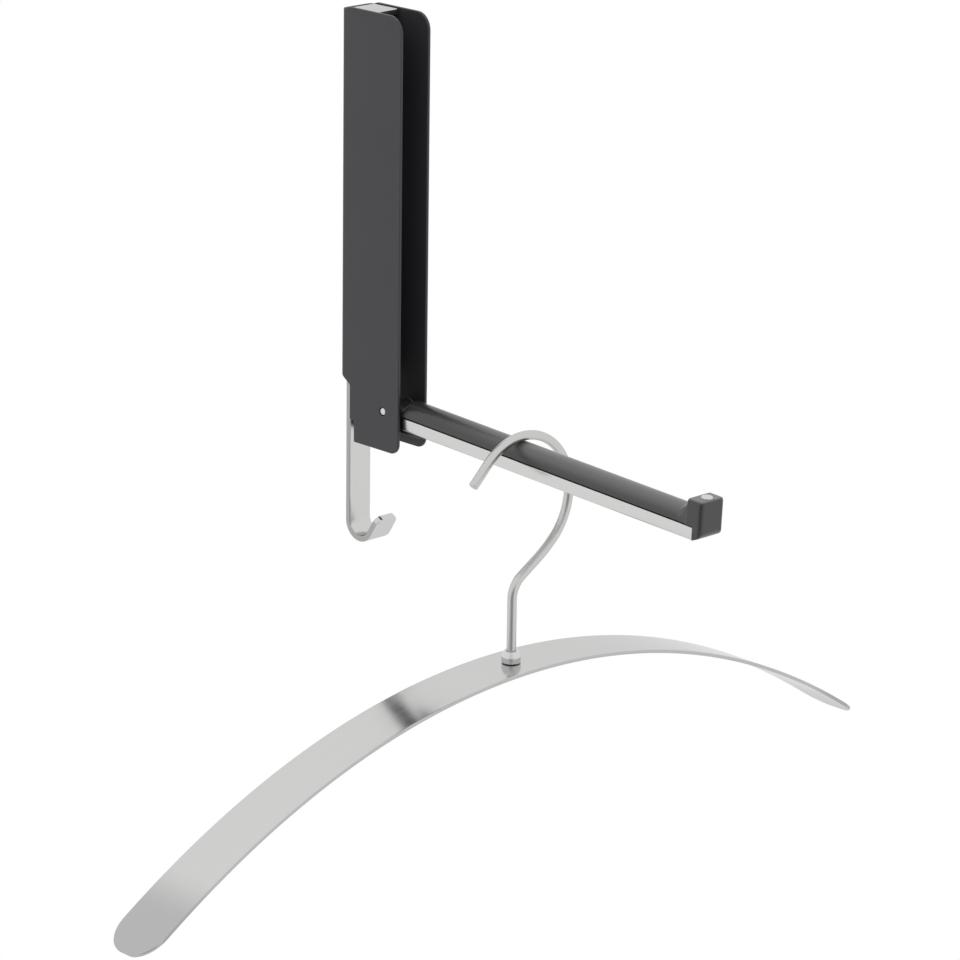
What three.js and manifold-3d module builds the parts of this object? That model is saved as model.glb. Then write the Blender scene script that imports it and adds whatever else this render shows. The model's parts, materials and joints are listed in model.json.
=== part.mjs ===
// A wall-mounted clothes valet. A black channel is screwed to the wall and an arm folds down out of its mouth.
// A stainless strip behind the arm ends in a hook below the channel, and a hanger bent from strip hangs on the
// arm. Millimetres, +Z up. The wall is the plane Y = 0, the room is towards -Y, and the origin is the middle of
// the channel's back.

import * as THREE from "three";
import { mergeVertices } from "three/addons/utils/BufferGeometryUtils.js";
import Module from "manifold-3d";

const wasm = await Module();
wasm.setup();

// Clearances that all pieces share
const FIT_GAP = 0.3; // between fixed pieces that are cut to each other
const RUNNING_GAP = 0.25; // beside pieces that turn on each other
const OVERRUN = 5; // how far a cutter passes the faces that it cuts

// Housing: a channel of bent sheet with its mouth to the room
const HOUSING_HEIGHT = 206;
const HOUSING_WIDTH = 18.5;
const HOUSING_DEPTH = 40;
const HOUSING_SHEET = 1.5;
const HOUSING_BEND_RADIUS = 2.5; // outside of the two long bends
const WEB_DROP = 1; // of the web's top edge below the flanges' tops
const WEB_SLANT_DEPTH = 5.5; // from the wall to where the flanges reach their full height
const FLANGE_TOP_RADIUS = 8;
const FLANGE_FOOT_RADIUS = 5;
const CUTOUT_HEIGHT = 31.7; // where the web ends, above the housing's lower edge
const CUTOUT_SLANT_HEIGHT = 27.2; // where the slant under the web's end meets the upright edge
const CUTOUT_DEPTH = 6.7; // from the wall to the flanges' upright rear edge
const CUTOUT_RADIUS = 1.2;
const FOOT_HEIGHT = 10.4; // the lowest part of the flanges stands further from the wall
const FOOT_DEPTH = 9.6;

// Pivot of the arm
const PIVOT_HEIGHT = 19; // above the housing's lower edge
const PIVOT_DEPTH = 29.2; // from the wall
const PIN_DIAMETER = 3.5;
const PIN_RECESS = 0.3; // of each end inside its flange
const BUSH_WALL = 1;
const WASHER_DIAMETER = 8.4;

// Arm: a steel rail under a black half-round bar that also forms the knuckle and the end block
const ARM_LENGTH = 201.7; // from the pivot to the front of the block
const ARM_WIDTH = 14;
const ARM_DROOP = 2.8; // degrees below level when it rests on the stop
const ARM_LEAN = 0.5; // degrees past upright when it is folded away
const RAIL_START = 10.7; // from the pivot
const RAIL_HEIGHT = 6.1;
const RAIL_UNDERSIDE = 6.7; // below the pivot
const RAIL_SHEET = 1.2;
const RAIL_SCREW_MARGIN = 36; // of the first and the last screw from the rail's ends
const RAIL_SCREW_COUNT = 3;
const KNUCKLE_RADIUS = 4.4;
const KNUCKLE_WIDTH = 12.4;
const KNUCKLE_LENGTH = 7.5; // of the narrow part, in front of the pivot
const CROWN_FOOT = 9.5; // where the crown starts to rise from the knuckle, in front of the pivot
const CROWN_START = 12.5; // where it reaches its full height

// End block of the arm
const BLOCK_LENGTH = 4.7; // under the crown
const BLOCK_TOP_LENGTH = 8.3; // over the crown, which rises to it
const BLOCK_WIDTH = 15.2;
const BLOCK_TOP = 12.1; // above the pivot's axis
const BLOCK_BOTTOM = 6.4; // below it
const BLOCK_EDGE_RADIUS = 2.2;
const BLOCK_UNDERSIDE_RISE = 2; // of its underside towards the front
const BLOCK_CHIN_RADIUS = 2.5;
const BLOCK_BROW_RADIUS = 0.6;
const BLOCK_RISE = 7; // length over which the crown rises to the block's top
const BLOCK_SQUARENESS = 3; // of the crown's section where it meets the block; 0 is round

// Stop: a tongue under the arm, whose wide rear is fixed between the flanges
const STOP_REACH = 12.2; // in front of the housing
const STOP_WIDTH = 10; // in front of its shoulders
const STOP_SHOULDER = 2; // behind the housing's front
const STOP_THICKNESS = 1.5;
const STOP_RADIUS = 3;

// Hook strip: a steel strip on the channel's web with a tab at the top and a hook at the bottom
const STRIP_WIDTH = 13.2;
const STRIP_THICKNESS = 2.8;
const STRIP_EDGE = 0.35; // chamfer of the long edges
const TAB_DROP = 0.4; // of the tab's top face below the housing's top
const TAB_BEND_RADIUS = 1.5; // inside
const TAB_TURN = 90; // degrees
const HOOK_REACH = 49.4; // from the housing's lower edge to the bottom of the hook
const HOOK_RADIUS = 6.5; // inside
const HOOK_TURN = 148; // degrees
const HOOK_LIP = 10.5; // straight length of the lip
const HOOK_TIP_RADIUS = 4;

// Screws
const WALL_SCREW_TOP = 38; // of the upper one below the housing's top
const WALL_SCREW_FOOT = 26.3; // of the lower one above the web's end
const WALL_SCREW_DIAMETER = 4;
const WALL_SCREW_HEAD = 8;
const WALL_SCREW_HEAD_HEIGHT = 2.6;
const RAIL_SCREW_DIAMETER = 2.5;
const RAIL_SCREW_HEAD = 4.9;
const RAIL_SCREW_LENGTH = 8;
const END_SCREW_DIAMETER = 2.5;
const END_SCREW_HEAD = 5.4;
const END_SCREW_HEAD_HEIGHT = 1.5;
const END_SCREW_SEAT = 0.6; // how deep the head's seat is let into the block
const END_SCREW_LENGTH = 9;
const HEAD_RIM_SHARE = 0.25; // of a domed head's height that is upright rim
const RECESS_LENGTH_SHARE = 0.56; // of the head's diameter
const RECESS_WIDTH_SHARE = 0.14;
const RECESS_DEPTH_SHARE = 0.5; // of the head's height

// Hanger: an arched strip that turns on the end of a wire hook
const HANGER_DEPTH = 112.9; // from the wall to the middle of the strip
const HANGER_SPAN = 462;
const HANGER_RISE = 77.2; // from the ends to the middle
const HANGER_WIDTH = 28.9;
const HANGER_THICKNESS = 1.7;
const HANGER_EDGE = 0.4; // chamfer of the long edges
const HANGER_END_RADIUS = 12; // of the two corners at each end
const ARCH_FOURTH_POWER_SHARE = 0.045; // of the rise; the rest grows with the square
const WIRE_DIAMETER = 4.4;
const BOW_RADIUS = 30.5; // of the wire's middle line
const BOW_HEIGHT = 76.9; // of the bow's centre above the strip
const BOW_OFFSET = 5; // of the bow's centre to one side of the shaft
const BOW_START = 134; // degrees, where the straight tip joins the bow
const BOW_TURN = 180; // degrees
const TIP_LENGTH = 13.5;
const RETURN_RADIUS = 60; // the bow opens into the slanting stretch
const RETURN_TURN = 12; // degrees
const NECK_RADIUS = 12; // where the slanting stretch turns down into the shaft
const COLLAR_DIAMETER = 9;
const COLLAR_TOP_DIAMETER = 6.8;
const COLLAR_HEIGHT = 5.5;
const COLLAR_TAPER = 2.8; // height of the tapered upper part
const HANGER_WASHER_DIAMETER = 9.5;
const HANGER_WASHER_THICKNESS = 0.8;
const NUT_DIAMETER = 7.6;
const NUT_HEIGHT = 5;
const NUT_BORE_DEPTH = 3.6;

// Fineness of the round stretches
const ROUND_SIDES = 32;
const WIRE_SIDES = 14;
const ARC_STEP = 9; // degrees
const CORNER_STEPS = 5;
const ARCH_STEPS = 46;
const RISE_STEPS = 7;
const ARCHED_SECTION_STEPS = 16;

const rad = THREE.MathUtils.degToRad;
const X_AXIS = new THREE.Vector3(1, 0, 0);
const Y_AXIS = new THREE.Vector3(0, 1, 0);
const Z_AXIS = new THREE.Vector3(0, 0, 1);

// Places that follow from the sizes
const HOUSING_TOP = HOUSING_HEIGHT / 2;
const HOUSING_BOTTOM = -HOUSING_HEIGHT / 2;
const CHANNEL_WIDTH = HOUSING_WIDTH - 2 * HOUSING_SHEET;
const PIVOT_Y = -PIVOT_DEPTH;
const PIVOT_Z = HOUSING_BOTTOM + PIVOT_HEIGHT;
const PIN_RADIUS = PIN_DIAMETER / 2;
const BUSH_INNER_RADIUS = PIN_RADIUS + RUNNING_GAP;
const BUSH_OUTER_RADIUS = BUSH_INNER_RADIUS + BUSH_WALL;
const RAIL_TOP = RAIL_HEIGHT - RAIL_UNDERSIDE;
const BAR_RADIUS = ARM_WIDTH / 2;
const BAR_BASE = RAIL_TOP + FIT_GAP;
const BAR_CROWN = BAR_BASE + BAR_RADIUS;
const BLOCK_START = ARM_LENGTH - BLOCK_LENGTH;
const BLOCK_TOP_START = ARM_LENGTH - BLOCK_TOP_LENGTH;
const STRIP_FRONT = -HOUSING_SHEET - STRIP_THICKNESS;
const WALL_SCREW_PLACES = [HOUSING_TOP - WALL_SCREW_TOP, HOUSING_BOTTOM + CUTOUT_HEIGHT + WALL_SCREW_FOOT];
const WIRE_RADIUS = WIRE_DIAMETER / 2;

// The arm's crown at the hanger's place, where the bow rests on it.
const CROWN_AT_HANGER = PIVOT_Z
  - (HANGER_DEPTH - PIVOT_DEPTH) * Math.tan(rad(ARM_DROOP))
  + BAR_CROWN / Math.cos(rad(ARM_DROOP));

// Colours, read from the photograph by eye
const blackCoating = { color: 0x47474b, roughness: 0.55, metalness: 0 };
const blackPlastic = { color: 0x2c2c2e, roughness: 0.4, metalness: 0 };
const satinSteel = { color: 0xc9c8c5, roughness: 0.35, metalness: 1 };
const brightSteel = { color: 0xdadada, roughness: 0.2, metalness: 1 };
const sinteredBronze = { color: 0xa08a5c, roughness: 0.6, metalness: 1 };
const blackNylon = { color: 0x313133, roughness: 0.5, metalness: 0 };

// A closed geometry as a solid, whichever way its triangles were wound and without its slivers on the axis.
function solidOf(geometry) {
  const bare = new THREE.BufferGeometry();
  bare.setAttribute("position", geometry.getAttribute("position").clone());
  bare.setIndex(geometry.getIndex());
  const merged = mergeVertices(bare);
  const position = merged.getAttribute("position");
  const triangles = [];
  let sixVolumes = 0;
  const corners = [new THREE.Vector3(), new THREE.Vector3(), new THREE.Vector3()];
  for (let first = 0; first < merged.index.count; first += 3) {
    const [a, b, c] = merged.index.array.slice(first, first + 3);
    if (a === b || b === c || c === a) continue;
    [a, b, c].forEach((vertex, corner) => corners[corner].fromBufferAttribute(position, vertex));
    sixVolumes += corners[0].dot(corners[1].clone().cross(corners[2]));
    triangles.push([a, b, c]);
  }
  const outward = sixVolumes > 0 ? triangles : triangles.map(([a, b, c]) => [a, c, b]);
  return new wasm.Manifold(new wasm.Mesh({
    numProp: 3,
    vertProperties: Float32Array.from(position.array),
    triVerts: Uint32Array.from(outward.flat()),
  }));
}

// A solid as a geometry for a mesh.
function geometryOf(solid) {
  const mesh = solid.getMesh();
  const geometry = new THREE.BufferGeometry();
  geometry.setAttribute("position", new THREE.BufferAttribute(mesh.vertProperties, mesh.numProp));
  geometry.setIndex(new THREE.BufferAttribute(mesh.triVerts, 1));
  geometry.computeVertexNormals();
  return geometry;
}

function pieceOf(name, solid, look) {
  const material = new THREE.MeshStandardMaterial({ ...look, flatShading: true });
  const mesh = new THREE.Mesh(geometryOf(solid), material);
  mesh.name = name;
  return mesh;
}

// An outline whose corners are [x, y, radius], as points; a radius of zero keeps the corner sharp.
function roundedOutline(corners) {
  const points = [];
  corners.forEach(([x, y, radius], index) => {
    const corner = new THREE.Vector2(x, y);
    if (radius === 0) {
      points.push(corner);
      return;
    }
    const [beforeX, beforeY] = corners.at(index - 1);
    const [afterX, afterY] = corners[(index + 1) % corners.length];
    const toBefore = new THREE.Vector2(beforeX, beforeY).sub(corner).normalize();
    const toAfter = new THREE.Vector2(afterX, afterY).sub(corner).normalize();
    const half = toBefore.angleTo(toAfter) / 2;
    const inward = toBefore.clone().add(toAfter).normalize();
    const middle = corner.clone().addScaledVector(inward, radius / Math.sin(half));
    const start = corner.clone().addScaledVector(toBefore, radius / Math.tan(half)).sub(middle);
    const turn = Math.sign(start.cross(inward.clone().negate())) * (Math.PI / 2 - half) * 2;
    for (let step = 0; step <= CORNER_STEPS; step += 1) {
      points.push(start.clone().rotateAround(new THREE.Vector2(), (turn * step) / CORNER_STEPS).add(middle));
    }
  });
  return points;
}

// An outline pushed from one height to another along an axis. Its first and second coordinates run along the
// two axes that follow it in the order X, Y, Z, X, Y.
function prism(points, axis, low, high) {
  const flat = new THREE.ExtrudeGeometry(new THREE.Shape(points), { depth: high - low, bevelEnabled: false });
  flat.translate(0, 0, low);
  const across = new THREE.Vector3(axis.z, axis.x, axis.y);
  const upward = new THREE.Vector3(axis.y, axis.z, axis.x);
  flat.applyMatrix4(new THREE.Matrix4().makeBasis(across, upward, axis));
  return solidOf(flat);
}

function box(low, high) {
  const size = new THREE.Vector3(...high).sub(new THREE.Vector3(...low));
  const middle = new THREE.Vector3(...high).add(new THREE.Vector3(...low)).divideScalar(2);
  return solidOf(new THREE.BoxGeometry(size.x, size.y, size.z).translate(middle.x, middle.y, middle.z));
}

// A profile of [radius, height] pairs turned about an axis through a place.
function turned(profile, axis, place) {
  const points = profile.map(([radius, height]) => new THREE.Vector2(radius, height));
  const lathe = new THREE.LatheGeometry(points, ROUND_SIDES);
  lathe.applyQuaternion(new THREE.Quaternion().setFromUnitVectors(Y_AXIS, axis));
  lathe.translate(place.x, place.y, place.z);
  return solidOf(lathe);
}

function rod(radius, axis, place, low, high) {
  return turned([[0, low], [radius, low], [radius, high], [0, high]], axis, place);
}

function sleeve(inner, outer, axis, place, low, high) {
  return turned([[inner, low], [outer, low], [outer, high], [inner, high], [inner, low]], axis, place);
}

// A skin through rings of equally many points, closed at both ends.
function loft(rings) {
  const sides = rings[0].length;
  const ends = [rings[0], rings.at(-1)].map((ring) => (
    ring.reduce((sum, point) => sum.add(point), new THREE.Vector3()).divideScalar(sides)
  ));
  const points = [...rings.flat(), ...ends];
  const triangles = [];
  for (let side = 0; side < sides; side += 1) {
    const next = (side + 1) % sides;
    for (let ring = 0; ring + 1 < rings.length; ring += 1) {
      const here = ring * sides;
      const ahead = here + sides;
      triangles.push(here + side, here + next, ahead + next, here + side, ahead + next, ahead + side);
    }
    const last = (rings.length - 1) * sides;
    triangles.push(rings.length * sides, next, side);
    triangles.push(rings.length * sides + 1, last + side, last + next);
  }
  const geometry = new THREE.BufferGeometry().setFromPoints(points);
  geometry.setIndex(triangles);
  return solidOf(geometry);
}

// A route in a plane that is walked: each stretch starts where the last one ended, in its direction.
class Route {
  constructor(x, y, heading) {
    this.heading = rad(heading);
    this.stations = [{ x, y, heading: this.heading }];
  }

  get end() {
    return this.stations.at(-1);
  }

  line(length, steps = 1) {
    for (let step = 0; step < steps; step += 1) {
      const { x, y } = this.end;
      this.stations.push({
        x: x + (Math.cos(this.heading) * length) / steps,
        y: y + (Math.sin(this.heading) * length) / steps,
        heading: this.heading,
      });
    }
    return this;
  }

  // A positive turn, in degrees, goes to the left.
  arc(radius, turn) {
    const { x, y, heading } = this.end;
    const steps = Math.ceil(Math.abs(turn) / ARC_STEP);
    const side = Math.sign(turn) * radius;
    for (let step = 1; step <= steps; step += 1) {
      this.heading = heading + (rad(turn) * step) / steps;
      this.stations.push({
        x: x + side * (Math.sin(this.heading) - Math.sin(heading)),
        y: y + side * (Math.cos(heading) - Math.cos(this.heading)),
        heading: this.heading,
      });
    }
    return this;
  }
}

// Rings of a section along a route. The section gives [across, outward] pairs for each station, where across
// runs along sideways and outward is the route's left. The route's plane is spanned by along and upward.
function sweep(stations, section, along, upward, sideways) {
  return loft(stations.map((station, index) => {
    const left = along.clone().multiplyScalar(-Math.sin(station.heading))
      .addScaledVector(upward, Math.cos(station.heading));
    const middle = along.clone().multiplyScalar(station.x).addScaledVector(upward, station.y);
    return section(station, index).map(([across, outward]) => (
      middle.clone().addScaledVector(sideways, across).addScaledVector(left, outward)
    ));
  }));
}

// A flat bar's section with chamfered edges.
function flatSection(halfWidth, halfThickness, edge) {
  const inner = halfWidth - edge;
  const low = halfThickness - edge;
  return [
    [inner, -halfThickness], [halfWidth, -low], [halfWidth, low], [inner, halfThickness],
    [-inner, halfThickness], [-halfWidth, low], [-halfWidth, -low], [-inner, -halfThickness],
  ];
}

// Half the width of a strip at a distance from its end, where both corners are rounded.
function halfWidthNearEnd(half, radius, distance) {
  if (distance >= radius) return half;
  return half - radius + Math.sqrt(radius ** 2 - (radius - distance) ** 2);
}

// Distances from an end that cut a rounded corner into even angles, the end itself first.
function cornerDistances(radius) {
  return Array.from({ length: CORNER_STEPS + 1 }, (_, step) => (
    radius * (1 - Math.cos((Math.PI / 2) * (step / CORNER_STEPS)))
  ));
}

// A cross-shaped cutter in the top of a screw's head; the head's top is at the given height on the axis.
function crossRecess(headDiameter, headHeight, axis, place, top) {
  const length = (headDiameter * RECESS_LENGTH_SHARE) / 2;
  const width = (headDiameter * RECESS_WIDTH_SHARE) / 2;
  const depth = headHeight * RECESS_DEPTH_SHARE;
  const turn = new THREE.Quaternion().setFromUnitVectors(Z_AXIS, axis);
  const bars = [[length, width], [width, length]].map(([x, y]) => {
    const bar = new THREE.BoxGeometry(2 * x, 2 * y, depth + OVERRUN);
    bar.translate(0, 0, top - depth + (depth + OVERRUN) / 2);
    bar.applyQuaternion(turn);
    bar.translate(place.x, place.y, place.z);
    return solidOf(bar);
  });
  return bars[0].add(bars[1]);
}

// A screw with a domed head. Its seat is at height zero on the axis, and the axis points out of the head.
function domedScrew(diameter, headDiameter, headHeight, length, axis, place) {
  const rim = headHeight * HEAD_RIM_SHARE;
  const dome = Array.from({ length: CORNER_STEPS + 1 }, (_, step) => {
    const angle = (Math.PI / 2) * (step / CORNER_STEPS);
    return [(headDiameter / 2) * Math.cos(angle), rim + (headHeight - rim) * Math.sin(angle)];
  });
  dome[CORNER_STEPS][0] = 0;
  const profile = [[0, -length], [diameter / 2, -length], [diameter / 2, 0], [headDiameter / 2, 0], ...dome];
  const body = turned(profile, axis, place);
  return body.subtract(crossRecess(headDiameter, headHeight, axis, place, headHeight));
}

function housing() {
  const half = HOUSING_WIDTH / 2;
  const inner = CHANNEL_WIDTH / 2;
  const bendInside = HOUSING_BEND_RADIUS - HOUSING_SHEET;
  const plan = roundedOutline([
    [half, 0, HOUSING_BEND_RADIUS], [-half, 0, HOUSING_BEND_RADIUS],
    [-half, -HOUSING_DEPTH, 0], [-inner, -HOUSING_DEPTH, 0],
    [-inner, -HOUSING_SHEET, bendInside], [inner, -HOUSING_SHEET, bendInside],
    [inner, -HOUSING_DEPTH, 0], [half, -HOUSING_DEPTH, 0],
  ]);
  const side = roundedOutline([
    [-WEB_SLANT_DEPTH, HOUSING_TOP, 0], [-HOUSING_BEND_RADIUS, HOUSING_TOP - WEB_DROP, 0],
    [OVERRUN, HOUSING_TOP - WEB_DROP, 0], [OVERRUN, HOUSING_BOTTOM + CUTOUT_HEIGHT, 0],
    [0, HOUSING_BOTTOM + CUTOUT_HEIGHT, 0],
    [-CUTOUT_DEPTH, HOUSING_BOTTOM + CUTOUT_SLANT_HEIGHT, CUTOUT_RADIUS],
    [-CUTOUT_DEPTH, HOUSING_BOTTOM + FOOT_HEIGHT, CUTOUT_RADIUS],
    [-FOOT_DEPTH, HOUSING_BOTTOM + FOOT_HEIGHT, CUTOUT_RADIUS],
    [-FOOT_DEPTH, HOUSING_BOTTOM, 0],
    [-HOUSING_DEPTH, HOUSING_BOTTOM, FLANGE_FOOT_RADIUS],
    [-HOUSING_DEPTH, HOUSING_TOP, FLANGE_TOP_RADIUS],
  ]);
  const channel = prism(plan, Z_AXIS, HOUSING_BOTTOM - OVERRUN, HOUSING_TOP + OVERRUN);
  const pivot = new THREE.Vector3(0, PIVOT_Y, PIVOT_Z);
  const shaped = channel.intersect(prism(side, X_AXIS, -half - OVERRUN, half + OVERRUN))
    .subtract(rod(PIN_RADIUS + FIT_GAP, X_AXIS, pivot, -half - OVERRUN, half + OVERRUN));
  return wallScrewHoles().reduce((solid, hole) => solid.subtract(hole), shaped);
}

function wallScrewHoles() {
  return WALL_SCREW_PLACES.map((height) => {
    const place = new THREE.Vector3(0, 0, height);
    return rod(WALL_SCREW_DIAMETER / 2 + FIT_GAP, Y_AXIS, place, STRIP_FRONT - OVERRUN, OVERRUN);
  });
}

// The tab's front edge, which the crown of the folded arm leans on.
function tabFront() {
  const lean = rad(ARM_LEAN);
  const height = HOUSING_TOP - TAB_DROP - PIVOT_Z;
  return PIVOT_Y + BAR_CROWN / Math.cos(lean) + height * Math.tan(lean) + FIT_GAP;
}

function hookStrip() {
  const half = STRIP_THICKNESS / 2;
  const middleY = STRIP_FRONT + half;
  const tabZ = HOUSING_TOP - TAB_DROP - half;
  const tabBend = TAB_BEND_RADIUS + half;
  const hookBend = HOOK_RADIUS + half;
  const hookCentreZ = HOUSING_BOTTOM - HOOK_REACH + STRIP_THICKNESS + HOOK_RADIUS;
  const route = new Route(tabFront(), tabZ, 0)
    .line(middleY - tabBend - tabFront())
    .arc(tabBend, -TAB_TURN)
    .line(tabZ - tabBend - hookCentreZ)
    .arc(hookBend, -HOOK_TURN)
    .line(HOOK_LIP - HOOK_TIP_RADIUS);
  const corner = cornerDistances(HOOK_TIP_RADIUS).reverse();
  corner.slice(1).forEach((distance, index) => route.line(corner[index] - distance));
  const tip = route.end;
  const section = (station) => {
    const distance = Math.hypot(station.x - tip.x, station.y - tip.y);
    return flatSection(halfWidthNearEnd(STRIP_WIDTH / 2, HOOK_TIP_RADIUS, distance), half, STRIP_EDGE);
  };
  const strip = sweep(route.stations, section, Y_AXIS, Z_AXIS, X_AXIS);
  return wallScrewHoles().reduce((solid, hole) => solid.subtract(hole), strip);
}

function armStop() {
  const half = CHANNEL_WIDTH / 2;
  const narrow = STOP_WIDTH / 2;
  const shoulder = HOUSING_DEPTH - STOP_SHOULDER;
  const tip = HOUSING_DEPTH + STOP_REACH;
  const underside = PIVOT_Z - RAIL_UNDERSIDE / Math.cos(rad(ARM_DROOP))
    - (tip - PIVOT_DEPTH) * Math.tan(rad(ARM_DROOP));
  const plan = roundedOutline([
    [half, -FOOT_DEPTH, 0], [-half, -FOOT_DEPTH, 0], [-half, -shoulder, 0], [-narrow, -shoulder, 0],
    [-narrow, -tip, STOP_RADIUS], [narrow, -tip, STOP_RADIUS], [narrow, -shoulder, 0], [half, -shoulder, 0],
  ]);
  const top = underside - FIT_GAP;
  return prism(plan, Z_AXIS, top - STOP_THICKNESS, top);
}

function pivotPin() {
  const half = HOUSING_WIDTH / 2 - PIN_RECESS;
  return rod(PIN_RADIUS, X_AXIS, new THREE.Vector3(0, PIVOT_Y, PIVOT_Z), -half, half);
}

// The washer beside the knuckle on one side, -1 or 1.
function pivotWasher(side) {
  const inner = side * (KNUCKLE_WIDTH / 2 + RUNNING_GAP);
  const outer = side * (CHANNEL_WIDTH / 2 - RUNNING_GAP);
  const place = new THREE.Vector3(0, PIVOT_Y, PIVOT_Z);
  const low = Math.min(inner, outer);
  const high = Math.max(inner, outer);
  return sleeve(PIN_RADIUS + RUNNING_GAP, WASHER_DIAMETER / 2, X_AXIS, place, low, high);
}

function wallScrew(height) {
  const place = new THREE.Vector3(0, STRIP_FRONT, height);
  const outward = Y_AXIS.clone().negate();
  return domedScrew(
    WALL_SCREW_DIAMETER, WALL_SCREW_HEAD, WALL_SCREW_HEAD_HEIGHT, -STRIP_FRONT, outward, place,
  );
}

// The arm's own frame has its origin on the pivot and its length along -Y.
const ORIGIN = new THREE.Vector3();

// Angle at which the lower tangent from a point in front of and below the origin touches a circle about it.
function tangentAngle(x, y, radius) {
  return Math.atan2(y, x) + Math.acos(radius / Math.hypot(x, y));
}

// The arm's side view without the block: knuckle, crown and keel.
function barSide() {
  const bottomCorner = -(RAIL_START - FIT_GAP);
  const lower = tangentAngle(bottomCorner, -RAIL_UNDERSIDE, KNUCKLE_RADIUS);
  const keel = -RAIL_UNDERSIDE + RAIL_SHEET + FIT_GAP;
  const shape = new THREE.Shape();
  shape.moveTo(-BLOCK_START - BLOCK_LENGTH / 2, BAR_CROWN);
  shape.lineTo(-BLOCK_START - BLOCK_LENGTH / 2, keel);
  shape.lineTo(bottomCorner, keel);
  shape.lineTo(bottomCorner, -RAIL_UNDERSIDE);
  shape.absarc(0, 0, KNUCKLE_RADIUS, lower, Math.PI / 2, false);
  shape.lineTo(-CROWN_FOOT, KNUCKLE_RADIUS);
  shape.lineTo(-CROWN_START, BAR_CROWN);
  return shape.getPoints(ROUND_SIDES / 2);
}

// The half-round bar's section over a straight body that reaches below the rail.
function barSection() {
  const points = [new THREE.Vector2(BAR_RADIUS, -RAIL_UNDERSIDE - OVERRUN)];
  for (let step = 0; step <= ARCHED_SECTION_STEPS; step += 1) {
    const angle = (Math.PI * step) / ARCHED_SECTION_STEPS;
    points.push(new THREE.Vector2(BAR_RADIUS * Math.cos(angle), BAR_BASE + BAR_RADIUS * Math.sin(angle)));
  }
  points.push(new THREE.Vector2(-BAR_RADIUS, -RAIL_UNDERSIDE - OVERRUN));
  return points.map(({ x, y }) => new THREE.Vector2(y, x));
}

// The crown swells from the half-round bar to the top's square section along a concave curve, and the section
// runs on into the block.
function blockRise() {
  const shares = Array.from({ length: RISE_STEPS + 1 }, (_, step) => step / RISE_STEPS);
  const rise = shares.map((share) => [share, BLOCK_TOP_START - BLOCK_RISE * (1 - share)]);
  rise.push([1, BLOCK_START + BLOCK_LENGTH / 2]);
  return loft(rise.map(([share, length]) => {
    const swell = 1 - Math.sqrt(1 - share ** 2);
    const halfWidth = BAR_RADIUS + (BLOCK_WIDTH / 2 - BAR_RADIUS) * swell;
    const height = BAR_RADIUS + (BLOCK_TOP - BAR_CROWN) * swell;
    const power = 1 / (1 + BLOCK_SQUARENESS * share ** 2);
    return Array.from({ length: ARCHED_SECTION_STEPS + 1 }, (_, side) => {
      const angle = (Math.PI * side) / ARCHED_SECTION_STEPS;
      const across = Math.sign(Math.cos(angle)) * Math.abs(Math.cos(angle)) ** power * halfWidth;
      const upward = Math.sin(angle) ** power * height;
      return new THREE.Vector3(across, -length, BAR_BASE + upward);
    });
  }));
}

function endBlock() {
  const half = BLOCK_WIDTH / 2;
  const plan = roundedOutline([
    [half, -BLOCK_START, 0], [-half, -BLOCK_START, 0],
    [-half, -ARM_LENGTH, BLOCK_EDGE_RADIUS], [half, -ARM_LENGTH, BLOCK_EDGE_RADIUS],
  ]);
  const side = roundedOutline([
    [-BLOCK_START, BLOCK_TOP, 0], [-ARM_LENGTH, BLOCK_TOP, BLOCK_BROW_RADIUS],
    [-ARM_LENGTH, BLOCK_UNDERSIDE_RISE - BLOCK_BOTTOM, BLOCK_CHIN_RADIUS], [-BLOCK_START, -BLOCK_BOTTOM, 0],
  ]);
  return prism(plan, Z_AXIS, -BLOCK_BOTTOM - OVERRUN, BLOCK_TOP + OVERRUN)
    .intersect(prism(side, X_AXIS, -half - OVERRUN, half + OVERRUN));
}

function railScrewPlaces() {
  const first = RAIL_START + RAIL_SCREW_MARGIN;
  const last = BLOCK_START - FIT_GAP - RAIL_SCREW_MARGIN;
  return Array.from({ length: RAIL_SCREW_COUNT }, (_, index) => (
    new THREE.Vector3(0, -(first + ((last - first) * index) / (RAIL_SCREW_COUNT - 1)), -RAIL_UNDERSIDE)
  ));
}

function endScrewPlace() {
  return new THREE.Vector3(0, -(BLOCK_TOP_START + BLOCK_TOP_LENGTH / 2), BLOCK_TOP - END_SCREW_SEAT + FIT_GAP);
}

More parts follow.
